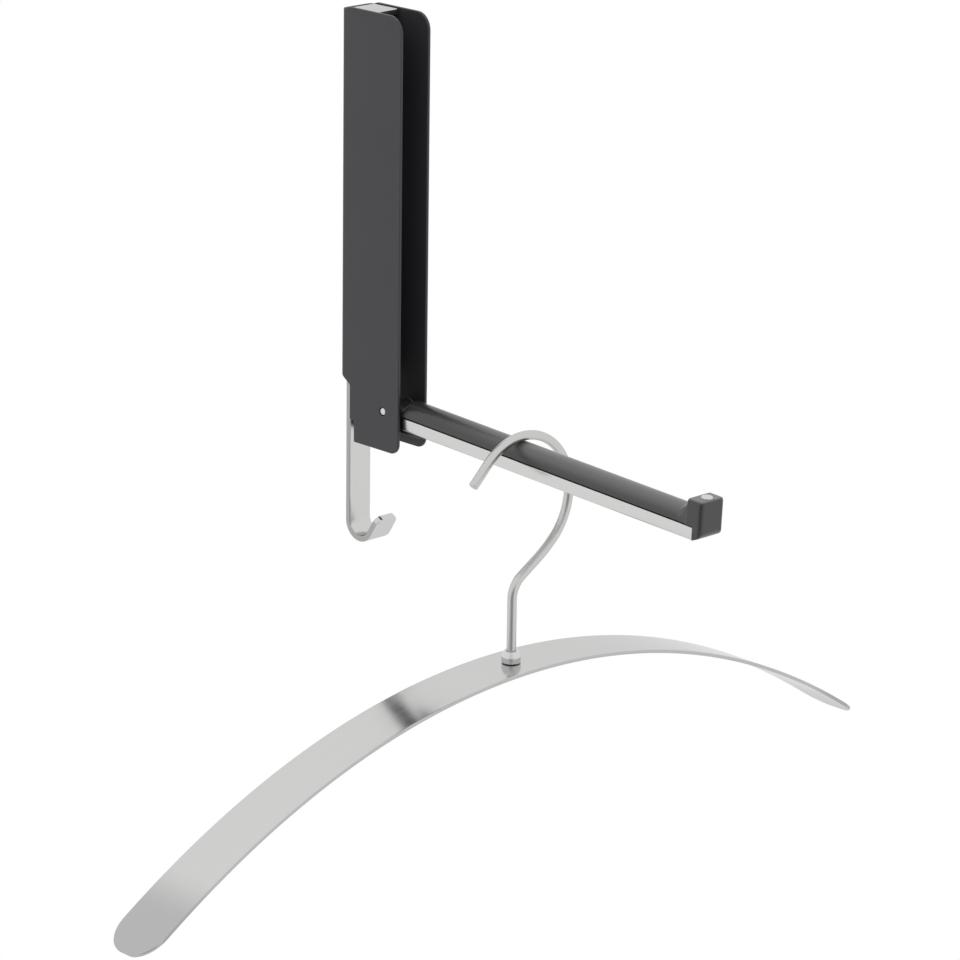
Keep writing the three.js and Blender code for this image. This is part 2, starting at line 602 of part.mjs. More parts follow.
function armBar() {
  const half = ARM_WIDTH / 2;
  const reach = half + OVERRUN;
  const wholeLength = BLOCK_START + BLOCK_LENGTH / 2;
  let bar = prism(barSection(), Y_AXIS, -wholeLength, KNUCKLE_RADIUS + OVERRUN)
    .intersect(prism(barSide(), X_AXIS, -reach, reach));
  for (const side of [-1, 1]) {
    const wall = [side * (half - RAIL_SHEET - FIT_GAP), side * reach].sort((a, b) => a - b);
    const cheek = [side * (KNUCKLE_WIDTH / 2), side * reach].sort((a, b) => a - b);
    bar = bar
      .subtract(box([wall[0], -wholeLength - OVERRUN, -RAIL_UNDERSIDE - OVERRUN],
        [wall[1], -(RAIL_START - FIT_GAP), BAR_BASE]))
      .subtract(box([cheek[0], -KNUCKLE_LENGTH, -reach - OVERRUN], [cheek[1], reach, reach + OVERRUN]));
  }
  bar = bar.add(blockRise()).add(endBlock())
    .subtract(rod(BUSH_OUTER_RADIUS + FIT_GAP, X_AXIS, ORIGIN, -reach, reach));
  for (const place of railScrewPlaces()) {
    bar = bar.subtract(rod(RAIL_SCREW_DIAMETER / 2 + FIT_GAP, Z_AXIS, place, 0, RAIL_SCREW_LENGTH + FIT_GAP));
  }
  const screw = endScrewPlace();
  const depth = END_SCREW_LENGTH + FIT_GAP;
  return bar
    .subtract(rod(END_SCREW_DIAMETER / 2 + FIT_GAP, Z_AXIS, screw, -depth, OVERRUN))
    .subtract(rod(END_SCREW_HEAD / 2 + FIT_GAP, Z_AXIS, screw, -FIT_GAP, OVERRUN));
}

function pivotBush() {
  const half = KNUCKLE_WIDTH / 2;
  return sleeve(BUSH_INNER_RADIUS, BUSH_OUTER_RADIUS, X_AXIS, ORIGIN, -half, half);
}

// A countersunk screw whose head is flush with the rail's underside. As a cutter it is wider by a gap and
// runs out below the head.
function railScrewBody(place, gap, overrun) {
  const head = RAIL_SCREW_HEAD / 2 + gap;
  const shank = RAIL_SCREW_DIAMETER / 2 + gap;
  const length = RAIL_SCREW_LENGTH;
  const profile = [[0, -overrun], [head, -overrun], [head, 0], [shank, RAIL_SHEET], [shank, length], [0, length]];
  return turned(profile, Z_AXIS, place);
}

function armRail() {
  const half = ARM_WIDTH / 2;
  const inner = half - RAIL_SHEET;
  const floor = -RAIL_UNDERSIDE + RAIL_SHEET;
  const outline = [
    [half, -RAIL_UNDERSIDE], [half, RAIL_TOP], [inner, RAIL_TOP], [inner, floor],
    [-inner, floor], [-inner, RAIL_TOP], [-half, RAIL_TOP], [-half, -RAIL_UNDERSIDE],
  ].map(([x, z]) => new THREE.Vector2(z, x));
  const tray = prism(outline, Y_AXIS, -(BLOCK_START - FIT_GAP), -RAIL_START);
  return railScrewPlaces().reduce((solid, place) => (
    solid.subtract(railScrewBody(place, FIT_GAP, OVERRUN))
  ), tray);
}

function railScrew(place) {
  const downward = Z_AXIS.clone().negate();
  return railScrewBody(place, 0, 0).subtract(crossRecess(RAIL_SCREW_HEAD, RAIL_SHEET, downward, place, 0));
}

function endScrew() {
  return domedScrew(
    END_SCREW_DIAMETER, END_SCREW_HEAD, END_SCREW_HEAD_HEIGHT, END_SCREW_LENGTH, Z_AXIS, endScrewPlace(),
  );
}

// The hanger's own frame has its origin in the middle of the strip's top face, on the hook's shaft.
function wireEnd() {
  return -(HANGER_THICKNESS + 2 * RUNNING_GAP + HANGER_WASHER_THICKNESS + NUT_BORE_DEPTH - FIT_GAP);
}

function hangerHook() {
  const start = rad(BOW_START);
  const heading = BOW_START - 90;
  const joinX = BOW_OFFSET + BOW_RADIUS * Math.cos(start);
  const joinZ = BOW_HEIGHT + BOW_RADIUS * Math.sin(start);
  const route = new Route(
    joinX - TIP_LENGTH * Math.cos(rad(heading)), joinZ - TIP_LENGTH * Math.sin(rad(heading)), heading,
  ).line(TIP_LENGTH).arc(BOW_RADIUS, -BOW_TURN).arc(RETURN_RADIUS, -RETURN_TURN);
  const neckWidth = NECK_RADIUS * (1 + Math.sin(route.heading));
  const neckTurn = -90 - THREE.MathUtils.radToDeg(route.heading);
  route.line((neckWidth - route.end.x) / Math.cos(route.heading)).arc(NECK_RADIUS, neckTurn);
  route.line(route.end.y - wireEnd());
  const circle = Array.from({ length: WIRE_SIDES }, (_, side) => {
    const angle = (2 * Math.PI * side) / WIRE_SIDES;
    return [WIRE_RADIUS * Math.cos(angle), WIRE_RADIUS * Math.sin(angle)];
  });
  return sweep(route.stations, () => circle, X_AXIS, Z_AXIS, Y_AXIS);
}

// Height of the arch's top face, and its slope, at a distance from the middle.
function archDrop(x) {
  const share = x / (HANGER_SPAN / 2);
  const square = (1 - ARCH_FOURTH_POWER_SHARE) * share ** 2;
  return HANGER_RISE * (square + ARCH_FOURTH_POWER_SHARE * share ** 4);
}

function archSlope(x) {
  const share = x / (HANGER_SPAN / 2);
  const steepness = 2 * (1 - ARCH_FOURTH_POWER_SHARE) * share + 4 * ARCH_FOURTH_POWER_SHARE * share ** 3;
  return (-HANGER_RISE * steepness) / (HANGER_SPAN / 2);
}

function hangerStrip() {
  const half = HANGER_SPAN / 2;
  const straight = half - HANGER_END_RADIUS;
  const places = cornerDistances(HANGER_END_RADIUS).slice(0, -1).map((distance) => half - distance);
  for (let step = 0; step <= ARCH_STEPS / 2; step += 1) {
    places.push(straight * (1 - step / (ARCH_STEPS / 2)));
  }
  const mirrored = places.slice(0, -1).map((place) => -place);
  const stations = [...mirrored, ...places.reverse()].map((x) => {
    const heading = Math.atan(archSlope(x));
    return {
      x: x + (Math.sin(heading) * HANGER_THICKNESS) / 2,
      y: -archDrop(x) - (Math.cos(heading) * HANGER_THICKNESS) / 2,
      heading,
      fromEnd: half - Math.abs(x),
    };
  });
  const section = ({ fromEnd }) => flatSection(
    halfWidthNearEnd(HANGER_WIDTH / 2, HANGER_END_RADIUS, fromEnd), HANGER_THICKNESS / 2, HANGER_EDGE,
  );
  const hole = rod(WIRE_RADIUS + RUNNING_GAP, Z_AXIS, ORIGIN, -HANGER_THICKNESS - OVERRUN, OVERRUN);
  return sweep(stations, section, X_AXIS, Z_AXIS, Y_AXIS).subtract(hole);
}

function hangerCollar() {
  const bore = WIRE_RADIUS + RUNNING_GAP;
  const top = RUNNING_GAP + COLLAR_HEIGHT;
  const profile = [
    [bore, RUNNING_GAP], [COLLAR_DIAMETER / 2, RUNNING_GAP], [COLLAR_DIAMETER / 2, top - COLLAR_TAPER],
    [COLLAR_TOP_DIAMETER / 2, top], [bore, top], [bore, RUNNING_GAP],
  ];
  return turned(profile, Z_AXIS, ORIGIN);
}

function hangerWasher() {
  const top = -HANGER_THICKNESS - RUNNING_GAP;
  const bore = WIRE_RADIUS + RUNNING_GAP;
  return sleeve(bore, HANGER_WASHER_DIAMETER / 2, Z_AXIS, ORIGIN, top - HANGER_WASHER_THICKNESS, top);
}

function hangerCapNut() {
  const top = -HANGER_THICKNESS - 2 * RUNNING_GAP - HANGER_WASHER_THICKNESS;
  const radius = NUT_DIAMETER / 2;
  const bore = WIRE_RADIUS + RUNNING_GAP;
  const shoulder = top - NUT_BORE_DEPTH;
  const dome = Array.from({ length: CORNER_STEPS + 1 }, (_, step) => {
    const angle = (Math.PI / 2) * (step / CORNER_STEPS);
    return [radius * Math.cos(angle), shoulder - (NUT_HEIGHT - NUT_BORE_DEPTH) * Math.sin(angle)];
  });
  dome[CORNER_STEPS][0] = 0;
  return turned([[0, shoulder], [bore, shoulder], [bore, top], [radius, top], ...dome], Z_AXIS, ORIGIN);
}

const fixedPieces = new THREE.Group().add(
  pieceOf("housing", housing(), blackCoating),
  pieceOf("hook_strip", hookStrip(), satinSteel),
  pieceOf("arm_stop", armStop(), blackCoating),
  pieceOf("pivot_pin", pivotPin(), brightSteel),
  pieceOf("pivot_washer_left", pivotWasher(-1), blackNylon),
  pieceOf("pivot_washer_right", pivotWasher(1), blackNylon),
  pieceOf("wall_screw_upper", wallScrew(WALL_SCREW_PLACES[0]), brightSteel),
  pieceOf("wall_screw_lower", wallScrew(WALL_SCREW_PLACES[1]), brightSteel),
);

const arm = new THREE.Group().add(
  pieceOf("arm_bar", armBar(), blackPlastic),
  pieceOf("arm_rail", armRail(), satinSteel),
  pieceOf("pivot_bush", pivotBush(), sinteredBronze),
  pieceOf("end_screw", endScrew(), brightSteel),
);
railScrewPlaces().forEach((place, index) => {
  arm.add(pieceOf(`rail_screw_${index + 1}`, railScrew(place), brightSteel));
});
arm.position.set(0, PIVOT_Y, PIVOT_Z);
arm.rotation.x = rad(ARM_DROOP);

const hanger = new THREE.Group().add(
  pieceOf("hanger_hook", hangerHook(), satinSteel),
  pieceOf("hanger_strip", hangerStrip(), satinSteel),
  pieceOf("hanger_collar", hangerCollar(), brightSteel),
  pieceOf("hanger_washer", hangerWasher(), blackNylon),
  pieceOf("hanger_cap_nut", hangerCapNut(), brightSteel),
);
const bowCentreZ = CROWN_AT_HANGER + FIT_GAP + WIRE_RADIUS - BOW_RADIUS;
hanger.position.set(-BOW_OFFSET, -HANGER_DEPTH, bowCentreZ - BOW_HEIGHT);

const valet = new THREE.Group().add(fixedPieces, arm, hanger);

export default valet;
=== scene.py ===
"""The looks of a wall-mounted clothes valet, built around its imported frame: a black channel with a fold-
down arm, a steel strip with a hook at its foot, and an arched steel hanger on the arm. Metres, +Z up, the
room towards -Y."""

import json
import math

import bmesh
import bpy
import numpy as np
from mathutils import Matrix, Vector, geometry


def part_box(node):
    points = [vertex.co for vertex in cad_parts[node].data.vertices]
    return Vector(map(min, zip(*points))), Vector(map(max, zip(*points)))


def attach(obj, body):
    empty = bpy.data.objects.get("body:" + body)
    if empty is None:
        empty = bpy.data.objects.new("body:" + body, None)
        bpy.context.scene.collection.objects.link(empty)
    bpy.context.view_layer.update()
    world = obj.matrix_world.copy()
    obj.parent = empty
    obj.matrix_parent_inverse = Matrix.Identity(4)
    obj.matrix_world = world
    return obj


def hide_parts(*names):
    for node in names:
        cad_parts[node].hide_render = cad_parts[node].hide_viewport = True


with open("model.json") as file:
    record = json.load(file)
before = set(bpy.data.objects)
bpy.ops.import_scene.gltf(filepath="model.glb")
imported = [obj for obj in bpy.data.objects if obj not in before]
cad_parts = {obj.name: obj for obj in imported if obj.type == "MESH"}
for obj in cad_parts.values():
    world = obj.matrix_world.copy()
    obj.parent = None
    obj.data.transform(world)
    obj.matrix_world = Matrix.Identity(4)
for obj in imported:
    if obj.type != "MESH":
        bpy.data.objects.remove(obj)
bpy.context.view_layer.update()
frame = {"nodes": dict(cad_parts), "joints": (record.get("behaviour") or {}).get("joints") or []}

MM = 0.001
UP = np.array([0.0, 0.0, 1.0])
ASIDE = np.array([1.0, 0.0, 0.0])
ROOMWARD = np.array([0.0, -1.0, 0.0])

# Camera, solved from the object's edges in the photograph
VIEW_AZIMUTH = math.radians(-44.215)
VIEW_PITCH = math.radians(17.09)
VIEW_ROLL = math.radians(0.808)
VIEW_DISTANCE = 2025.93 * MM
VIEW_ASIDE = 59.71 * MM  # the view's middle, to the right of the pivot's height on the wall
VIEW_RISE = -39.17 * MM  # and above it
LENS = 161.25  # millimetres on the sensor's 36

# Channel of bent sheet
SHEET = 1.5 * MM
BEND_RADIUS = 2.5 * MM
WEB_DROP = 1 * MM  # of the web's top edge below the flanges' tops
WEB_SLANT_DEPTH = 5.5 * MM
FLANGE_TOP_RADIUS = 8 * MM
FLANGE_FOOT_RADIUS = 5 * MM
WEB_END = 31.7 * MM  # above the channel's lower edge
SLANT_END = 27.2 * MM
CUTOUT_DEPTH = 6.7 * MM
CUTOUT_RADIUS = 1.2 * MM
FOOT_HEIGHT = 10.4 * MM
FOOT_DEPTH = 9.6 * MM
SHEET_EDGE = 0.3 * MM  # round edge of the coated sheet
PIN_HOLE_GAP = 0.25 * MM

# Strip behind the arm
STRIP_THICKNESS = 2.8 * MM
STRIP_EDGE = 0.4 * MM
TAB_BEND_RADIUS = 2.9 * MM  # of the middle line
HOOK_BEND_RADIUS = 7.9 * MM  # of the middle line
HOOK_TURN = math.radians(148)
HOOK_LIP = 10.5 * MM
HOOK_TIP_RADIUS = 4 * MM

# Arm
DROOP = math.radians(2.8)
RAIL_START = 10.7 * MM
RAIL_HEIGHT = 6.1 * MM
RAIL_UNDERSIDE = 6.7 * MM  # below the pivot
RAIL_SHEET = 1.2 * MM
RAIL_EDGE = 0.35 * MM  # of its ends
RAIL_OUTER_RADIUS = 1.08 * MM
RAIL_INNER_RADIUS = 0.24 * MM
RAIL_LIP_RADIUS = 0.4 * MM
SEAM = 0.3 * MM  # between the rail and the moulding
SEAM_RELIEF = 0.4 * MM  # by which the seam's mouth is wider
BAR_RADIUS = 7 * MM
BAR_EDGE = 0.35 * MM
BAR_BEVEL_SHARE = 0.3  # where the edge's middle point stands, as a share of the edge
HAIR = 0.007 * MM  # between two sections where the outline steps
KNUCKLE_RADIUS = 4.4 * MM
KNUCKLE_HALF_WIDTH = 6.2 * MM
KNUCKLE_LENGTH = 7.5 * MM
CROWN_FOOT = 9.5 * MM  # where the crown starts to rise from the knuckle
CROWN_START = 12.5 * MM
ARM_LENGTH = 201.7 * MM
BLOCK_LENGTH = 4.7 * MM  # under the crown
BLOCK_TOP_LENGTH = 8.3 * MM
BLOCK_HALF_WIDTH = 7.6 * MM
BLOCK_TOP = 12.1 * MM
BLOCK_BOTTOM = 6.4 * MM
BLOCK_EDGE = 2.2 * MM
BLOCK_FOOT_EDGE = 0.6 * MM
BLOCK_UNDERSIDE_RISE = 2 * MM  # of its underside towards the front
BLOCK_CHIN = 2.5 * MM
BLOCK_BROW = 0.8 * MM
BLOCK_RISE = 7 * MM
BLOCK_SQUARENESS = 6  # of the crown's section where it meets the block; 0 is round
FRONT_RING_SHARE = 0.96  # size of the ring just inside the front's outline

# Stop tongue
TONGUE_HALF_WIDTH = 5 * MM
TONGUE_SHOULDER = 38 * MM  # from the wall to where the tongue narrows
TONGUE_RADIUS = 3 * MM
TONGUE_EDGE = 0.5 * MM

# Pin and screws
PIN_EDGE_SHARE = 0.25  # of the pin's radius
RAIL_SCREW = {"radius": 2.45 * MM, "dome": 0.12 * MM, "rim": -RAIL_SHEET,
              "shank": 1.25 * MM, "length": 8 * MM, "recess": 0.7 * MM}
END_SCREW = {"radius": 2.7 * MM, "dome": 1.1 * MM, "rim": 0.4 * MM,
             "shank": 1.25 * MM, "length": 9 * MM, "recess": 0.35 * MM}
WALL_SCREW_DOME_SHARE = 0.75  # of the head's height
WALL_SCREW_RECESS_SHARE = 0.55
WALL_SCREW_SHANK_SHARE = 0.5  # of the head's radius, and so are the next three
CROSS_LENGTH_SHARE = 1.1
CROSS_WIDTH_SHARE = 0.3
CROSS_SOFT_SHARE = 0.1

# Hanger
HANGER_RISE = 77.2 * MM
HANGER_THICKNESS = 1.7 * MM
HANGER_EDGE = 0.45 * MM
HANGER_END_RADIUS = 12 * MM
ARCH_FOURTH_POWER_SHARE = 0.045
WIRE_RADIUS = 2.2 * MM
WIRE_EDGE = 0.5 * MM  # round edge of the cut end
BOW_RADIUS = 30.5 * MM
BOW_HEIGHT = 76.9 * MM
BOW_OFFSET = 5 * MM
BOW_START = math.radians(134)
BOW_TURN = math.radians(180)
TIP_LENGTH = 13.5 * MM
RETURN_RADIUS = 60 * MM
RETURN_TURN = math.radians(12)
NECK_RADIUS = 12 * MM
COLLAR_TAPER = 2.8 * MM
COLLAR_TOP_RADIUS = 3.4 * MM
COLLAR_EDGE = 0.25 * MM
CAP_NUT_EDGE = 0.3 * MM
CAP_NUT_DOME_SHARE = 0.3  # of the nut's height

# Fineness of the meshes
ARC_STEP = math.radians(4)
EDGE_STEPS = 4
CORNER_STEPS = 9
ROUND_SIDES = 96
WIRE_SIDES = 40
ARCH_STEPS = 200
SPAN_STEPS = 12  # sections over a smooth stretch of the arm's moulding
MERGE_DISTANCE = 0.0005 * MM
TRIANGLES_INSIDE = 1  # the triangulation's kind of output: only what lies inside the lines
NEARLY_EQUAL = 1e-6  # millimetres, for the triangulation
CREASE = math.radians(32)
SUPPORT_SHARE = 0.6  # how far the ring beside a round edge stands from it, as a share of the edge's radius


# Shapes in a plane

def unit(vectors):
    """Vectors over their own lengths."""
    return vectors / np.linalg.norm(vectors, axis=-1, keepdims=True)


def filleted(corners, steps=CORNER_STEPS):
    """Points of an outline whose corners are (x, y, radius). A round corner is an arc about the point on
    the corner's halving line that stands one radius from both edges."""
    points = []
    for place, (x, y, radius) in enumerate(corners):
        corner = np.array([x, y])
        if radius == 0:
            points.append(corner)
            continue
        before = unit(np.array(corners[place - 1][:2]) - corner)
        after = unit(np.array(corners[(place + 1) % len(corners)][:2]) - corner)
        half = math.acos(np.clip(before @ after, -1, 1)) / 2
        middle = corner + unit(before + after) * radius / math.sin(half)
        start = corner + before * radius / math.tan(half) - middle
        end = corner + after * radius / math.tan(half) - middle
        sweep = math.pi - 2 * half
        shares = np.linspace(0, 1, steps + 1)[:, None]
        blend = np.sin((1 - shares) * sweep) * start + np.sin(shares * sweep) * end
        points.extend(middle + blend / math.sin(sweep))
    return np.array(points)


def inset(loop, distance):
    """A closed loop, walked with its material on the left, moved into the material by a distance: each
    corner goes along the sum of its two edges' normals, divided by one plus their product."""
    ahead = unit(np.roll(loop, -1, 0) - loop)
    behind = np.roll(ahead, 1, 0)
    normals = np.stack([-ahead[:, 1], ahead[:, 0]], 1)
    earlier = np.stack([-behind[:, 1], behind[:, 0]], 1)
    mitre = (normals + earlier) / (1 + (normals * earlier).sum(1, keepdims=True))
    return loop + distance * mitre


def within(points, loop):
    """Which points lie inside a loop: those from which a level line crosses it an odd number of times."""
    x, y = points[:, :1], points[:, 1:]
    ax, ay = loop.T
    bx, by = np.roll(loop, -1, 0).T
    crossed = ((ay > y) != (by > y)) & (x < ax + (y - ay) * (bx - ax) / np.where(by == ay, 1, by - ay))
    return crossed.sum(1) % 2 == 1


def triangles_between(loops, lines):
    """Triangles over the area inside the first loop and outside the others, with edges along the lines,
    which are pairs of places in the joined loops."""
    points = np.concatenate(loops)
    edges = list(lines)
    first = 0
    for loop in loops:
        places = np.arange(len(loop))
        edges.extend(zip(first + places, first + (places + 1) % len(loop)))
        first += len(loop)
    flat = [Vector(point / MM) for point in points]
    edges = [tuple(map(int, edge)) for edge in edges]
    found = geometry.delaunay_2d_cdt(flat, edges, [], TRIANGLES_INSIDE, NEARLY_EQUAL)
    source = [group[0] for group in found[3]]
    triangles = np.array([[source[corner] for corner in face] for face in found[2]])
    for hole in loops[1:]:
        triangles = triangles[~within(points[triangles].mean(1), hole)]
    return triangles


def quarter(radius, steps=EDGE_STEPS):
    """Distances from an end that cut a quarter circle into even angles, the end itself first."""
    return radius * (1 - np.cos(np.linspace(0, math.pi / 2, steps + 1)))


def end_inset(distance, radius):
    """How far a quarter circle that starts at an end stands in from the side, at a distance from that end:
    radius minus the root of radius squared minus (radius minus distance) squared."""
    left = radius - np.clip(distance, 0, radius)
    return radius - np.sqrt(radius ** 2 - left ** 2)


class Route:
    """A route in a plane. Each stretch is (length, turn) and starts in the direction in which the last one
    ended; one without a turn is a line, and any other an arc whose radius is its length over its turn."""

    def __init__(self, x, y, heading, stretches):
        self.starts = [(0.0, x, y, heading)]
        self.stretches = stretches
        for index, (length, _) in enumerate(stretches):
            self.starts.append((self.starts[-1][0] + length, *self.on_stretch(index, np.array(length))))
        self.length = self.starts[-1][0]

    def on_stretch(self, index, walked):
        """Place and heading at a distance walked on one stretch. On an arc x grows by the radius times what
        the heading's sine gains, and y by the radius times what its cosine loses."""
        _, x, y, heading = self.starts[index]
        length, turn = self.stretches[index]
        if turn == 0:
            return x + walked * np.cos(heading), y + walked * np.sin(heading), heading + 0 * walked
        radius = length / turn
        turned = heading + walked / radius
        return (x + radius * (np.sin(turned) - np.sin(heading)),
                y + radius * (np.cos(heading) - np.cos(turned)), turned)

    def at(self, distances):
        """Rows of x, y and heading at distances from the start."""
        begins = np.array([start[0] for start in self.starts[:-1]])
        index = np.clip(np.searchsorted(begins, distances, side="right") - 1, 0, len(begins) - 1)
        rows = np.zeros((3, len(distances)))
        for stretch in range(len(begins)):
            here = index == stretch
            rows[:, here] = self.on_stretch(stretch, distances[here] - begins[stretch])
        return rows

    def marks(self, extra):
        """Distances of the stations: the ends of each stretch, even steps along the arcs, and extra
        ones."""
        found = [extra]
        for (begin, *_), (length, turn) in zip(self.starts, self.stretches):
            steps = max(1, math.ceil(abs(turn) / ARC_STEP))
            found.append(begin + length * np.linspace(0, 1, steps + 1))
        ordered = np.sort(np.concatenate(found))
        return ordered[np.append(True, np.diff(ordered) > MERGE_DISTANCE)]


def arc(radius, turn):
    """A stretch of a route: its length is its radius times its turn."""
    return radius * abs(turn), turn


# Sections

def rounded_bar(half_width, half_height, radius):
    """Sections of a bar with round edges, [station, place, 2], anticlockwise. Each corner is a quarter
    circle about the point one radius inside both sides, with a further point beside each of its ends."""
    angles = np.linspace(0, math.pi / 2, EDGE_STEPS + 1)
    unit_arc = np.stack([np.cos(angles), np.sin(angles)], 1)
    unit_arc = np.concatenate([[[1, -SUPPORT_SHARE]], unit_arc, [[-SUPPORT_SHARE, 1]]])
    arcs, signs = [], []
    for cosine, sine in ((1, 0), (0, 1), (-1, 0), (0, -1)):
        turn = np.array([[cosine, sine], [-sine, cosine]])
        arcs.append(unit_arc @ turn)
        signs.append(np.broadcast_to(np.array([1, 1]) @ turn, unit_arc.shape))
    arcs, signs = np.concatenate(arcs), np.concatenate(signs)
    half = np.stack([half_width, half_height], -1)[:, None]
    radius = radius[:, None, None]
    return signs * (half - radius) + radius * arcs


def circle(radii):
    """Round sections of given radii."""
    angles = np.linspace(0, 2 * math.pi, WIRE_SIDES, endpoint=False)
    return radii[:, None, None] * np.stack([np.cos(angles), np.sin(angles)], 1)


# Meshes

def quads(rings, places):
    """Faces over rings of places that close round on themselves. Each goes along its ring, over to the next
    ring and back."""
    ring, place = (index.ravel() for index in np.mgrid[:rings - 1, :places])
    after = (place + 1) % places
    return np.stack([ring * places + place, ring * places + after,
                     (ring + 1) * places + after, (ring + 1) * places + place], 1)


class Shell:
    """Points and faces of a piece in the making, with each face corner's place on the flat sheet or
    blank."""

    def __init__(self):
        self.points = []
        self.faces = []
        self.corners = []
        self.count = 0

    def add(self, points, faces, corners):
        """Adds points, and faces that count from the first of them."""
        self.points.append(points)
        self.faces.extend((np.asarray(face) + self.count).tolist() for face in faces)
        self.corners.extend(np.asarray(corner) for corner in corners)
        self.count += len(points)

    def rings(self, points, walked, capped=True):
        """Quads over rings of points, [ring, place, xyz], which close round on themselves. A corner's place
        on the blank is the distance walked along the rings and the distance round its own ring."""
        rings, places = points.shape[:2]
        around = np.linalg.norm(np.diff(points, axis=1, append=points[:, :1]), axis=2)
        around = np.concatenate([np.zeros((rings, 1)), np.cumsum(around, 1)], 1)
        blank = np.stack([np.broadcast_to(np.asarray(walked)[:, None], around.shape), around], 2)
        faces = quads(rings, places)
        ring, place = np.divmod(faces[:, 0], places)
        corners = np.stack([blank[ring, place], blank[ring, place + 1],
                            blank[ring + 1, place + 1], blank[ring + 1, place]], 1)
        self.add(points.reshape(-1, 3), faces, corners)
        if capped:
            for at, order in ((0, slice(None, None, -1)), (rings - 1, slice(None))):
                start = self.count - rings * places + at * places
                self.faces.append((start + np.arange(places)[order]).tolist())
                self.corners.append(blank[at, :-1][order])

    def build(self, name, material, body, node):
        """The mesh object, with doubles merged, faces outwards and creases kept sharp. It rides on its body
        in the place of its node."""
        mesh = bpy.data.meshes.new(name)
        mesh.from_pydata(np.concatenate(self.points), [], self.faces)
        blank = np.concatenate(self.corners).astype(np.float32)
        mesh.uv_layers.new(name="blank").data.foreach_set("uv", blank.ravel())
        tidy = bmesh.new()
        tidy.from_mesh(mesh)
        bmesh.ops.remove_doubles(tidy, verts=tidy.verts, dist=MERGE_DISTANCE)
        bmesh.ops.recalc_face_normals(tidy, faces=tidy.faces)
        tidy.to_mesh(mesh)
        tidy.free()
        mesh.shade_smooth()
        mesh.set_sharp_from_angle(angle=CREASE)
        mesh.materials.append(material)
        made = bpy.data.objects.new(name, mesh)
        bpy.context.scene.collection.objects.link(made)
        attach(made, body)
        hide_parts(node)


def swept(route, walked, section, along, sideways):
    """Rings of a section carried along a route in the upright plane of a direction. A section's first
    coordinate runs sideways and its second to the route's left."""
    x, y, heading = route.at(walked)
    middle = x[:, None] * along + y[:, None] * UP
    left = -np.sin(heading)[:, None] * along + np.cos(heading)[:, None] * UP
    return middle[:, None] + section[..., :1] * sideways + section[..., 1:] * left[:, None]


def square_to(axis):
    """Two directions that are square to an axis and to each other."""
    across = unit(np.cross(axis, ASIDE if abs(axis @ ASIDE) < 0.5 else UP))
    return across, np.cross(axis, across)


def turned(profile, place, axis):
    """Rings of a profile of (radius, height) turned about an axis through a place: at an angle a a point
    stands its radius times cosine a along one direction across the axis and times sine a along the
    other."""
    across, third = square_to(axis)
    angles = np.linspace(0, 2 * math.pi, ROUND_SIDES, endpoint=False)[:, None]
    spoke = np.cos(angles) * across + np.sin(angles) * third
    return place + profile[:, None, :1] * spoke + profile[:, None, 1:] * axis


def walked_along(profile):
    """Distance walked from a profile's first point to each of its points."""
    return np.append(0, np.cumsum(np.linalg.norm(np.diff(profile, axis=0), axis=1)))


def plate(shell, loops, lines, thickness, edge, shape):
    """A flat blank with round edges, put into place by a shape of (points on the blank, depth under its
    face). Each loop of its outline is repeated as rings that go round the edge: at an angle a the ring lies
    edge times (1 - sine a) inside the outline and edge times (1 - cosine a) under the face."""
    angles = np.linspace(0, math.pi / 2, EDGE_STEPS + 1)
    insets = np.append(edge * (1 + SUPPORT_SHARE), edge * (1 - np.sin(angles)))
    depths = np.append(0, edge * (1 - np.cos(angles)))
    insets = np.concatenate([insets, insets[::-1]])
    depths = np.concatenate([depths, thickness - depths[::-1]])
    rings = [np.stack([inset(loop, distance) for distance in insets]) for loop in loops]
    first = shell.count
    starts, start = [], 0
    for ring in rings:
        blank = ring.reshape(-1, 2)
        depth = np.repeat(depths, ring.shape[1])
        faces = quads(*ring.shape[:2])[:, [0, 3, 2, 1]]
        starts.append(start)
        start += len(blank)
        shell.add(shape(blank, depth), faces, blank[faces])
    triangles = triangles_between([ring[0] for ring in rings], lines)
    front = np.concatenate([begin + np.arange(ring.shape[1]) for begin, ring in zip(starts, rings)])
    back = np.concatenate([begin + (ring.shape[0] - 1) * ring.shape[1] + np.arange(ring.shape[1])
                           for begin, ring in zip(starts, rings)])
    flat = np.concatenate([ring[0] for ring in rings])
    for faces, order in ((front[triangles], slice(None)), (back[triangles], slice(None, None, -1))):
        shell.faces.extend((first + faces[:, order]).tolist())
        shell.corners.extend(flat[triangles[:, order]])


# Node trees

class Signal:
    """One output of a node tree. Sums, differences and products of signals add Math nodes."""

    def __init__(self, tree, socket):
        self.tree = tree
        self.socket = socket

    def math(self, operation, first, second):
        """A Math node over two values or signals."""
        return self.tree.node("ShaderNodeMath", {"operation": operation}, (first, second))

    def __add__(self, other):
        return self.math("ADD", self, other)

    def __sub__(self, other):
        return self.math("SUBTRACT", self, other)

    def __rsub__(self, other):
        return self.math("SUBTRACT", other, self)

    def __mul__(self, other):
        return self.math("MULTIPLY", self, other)

    __radd__ = __add__
    __rmul__ = __mul__


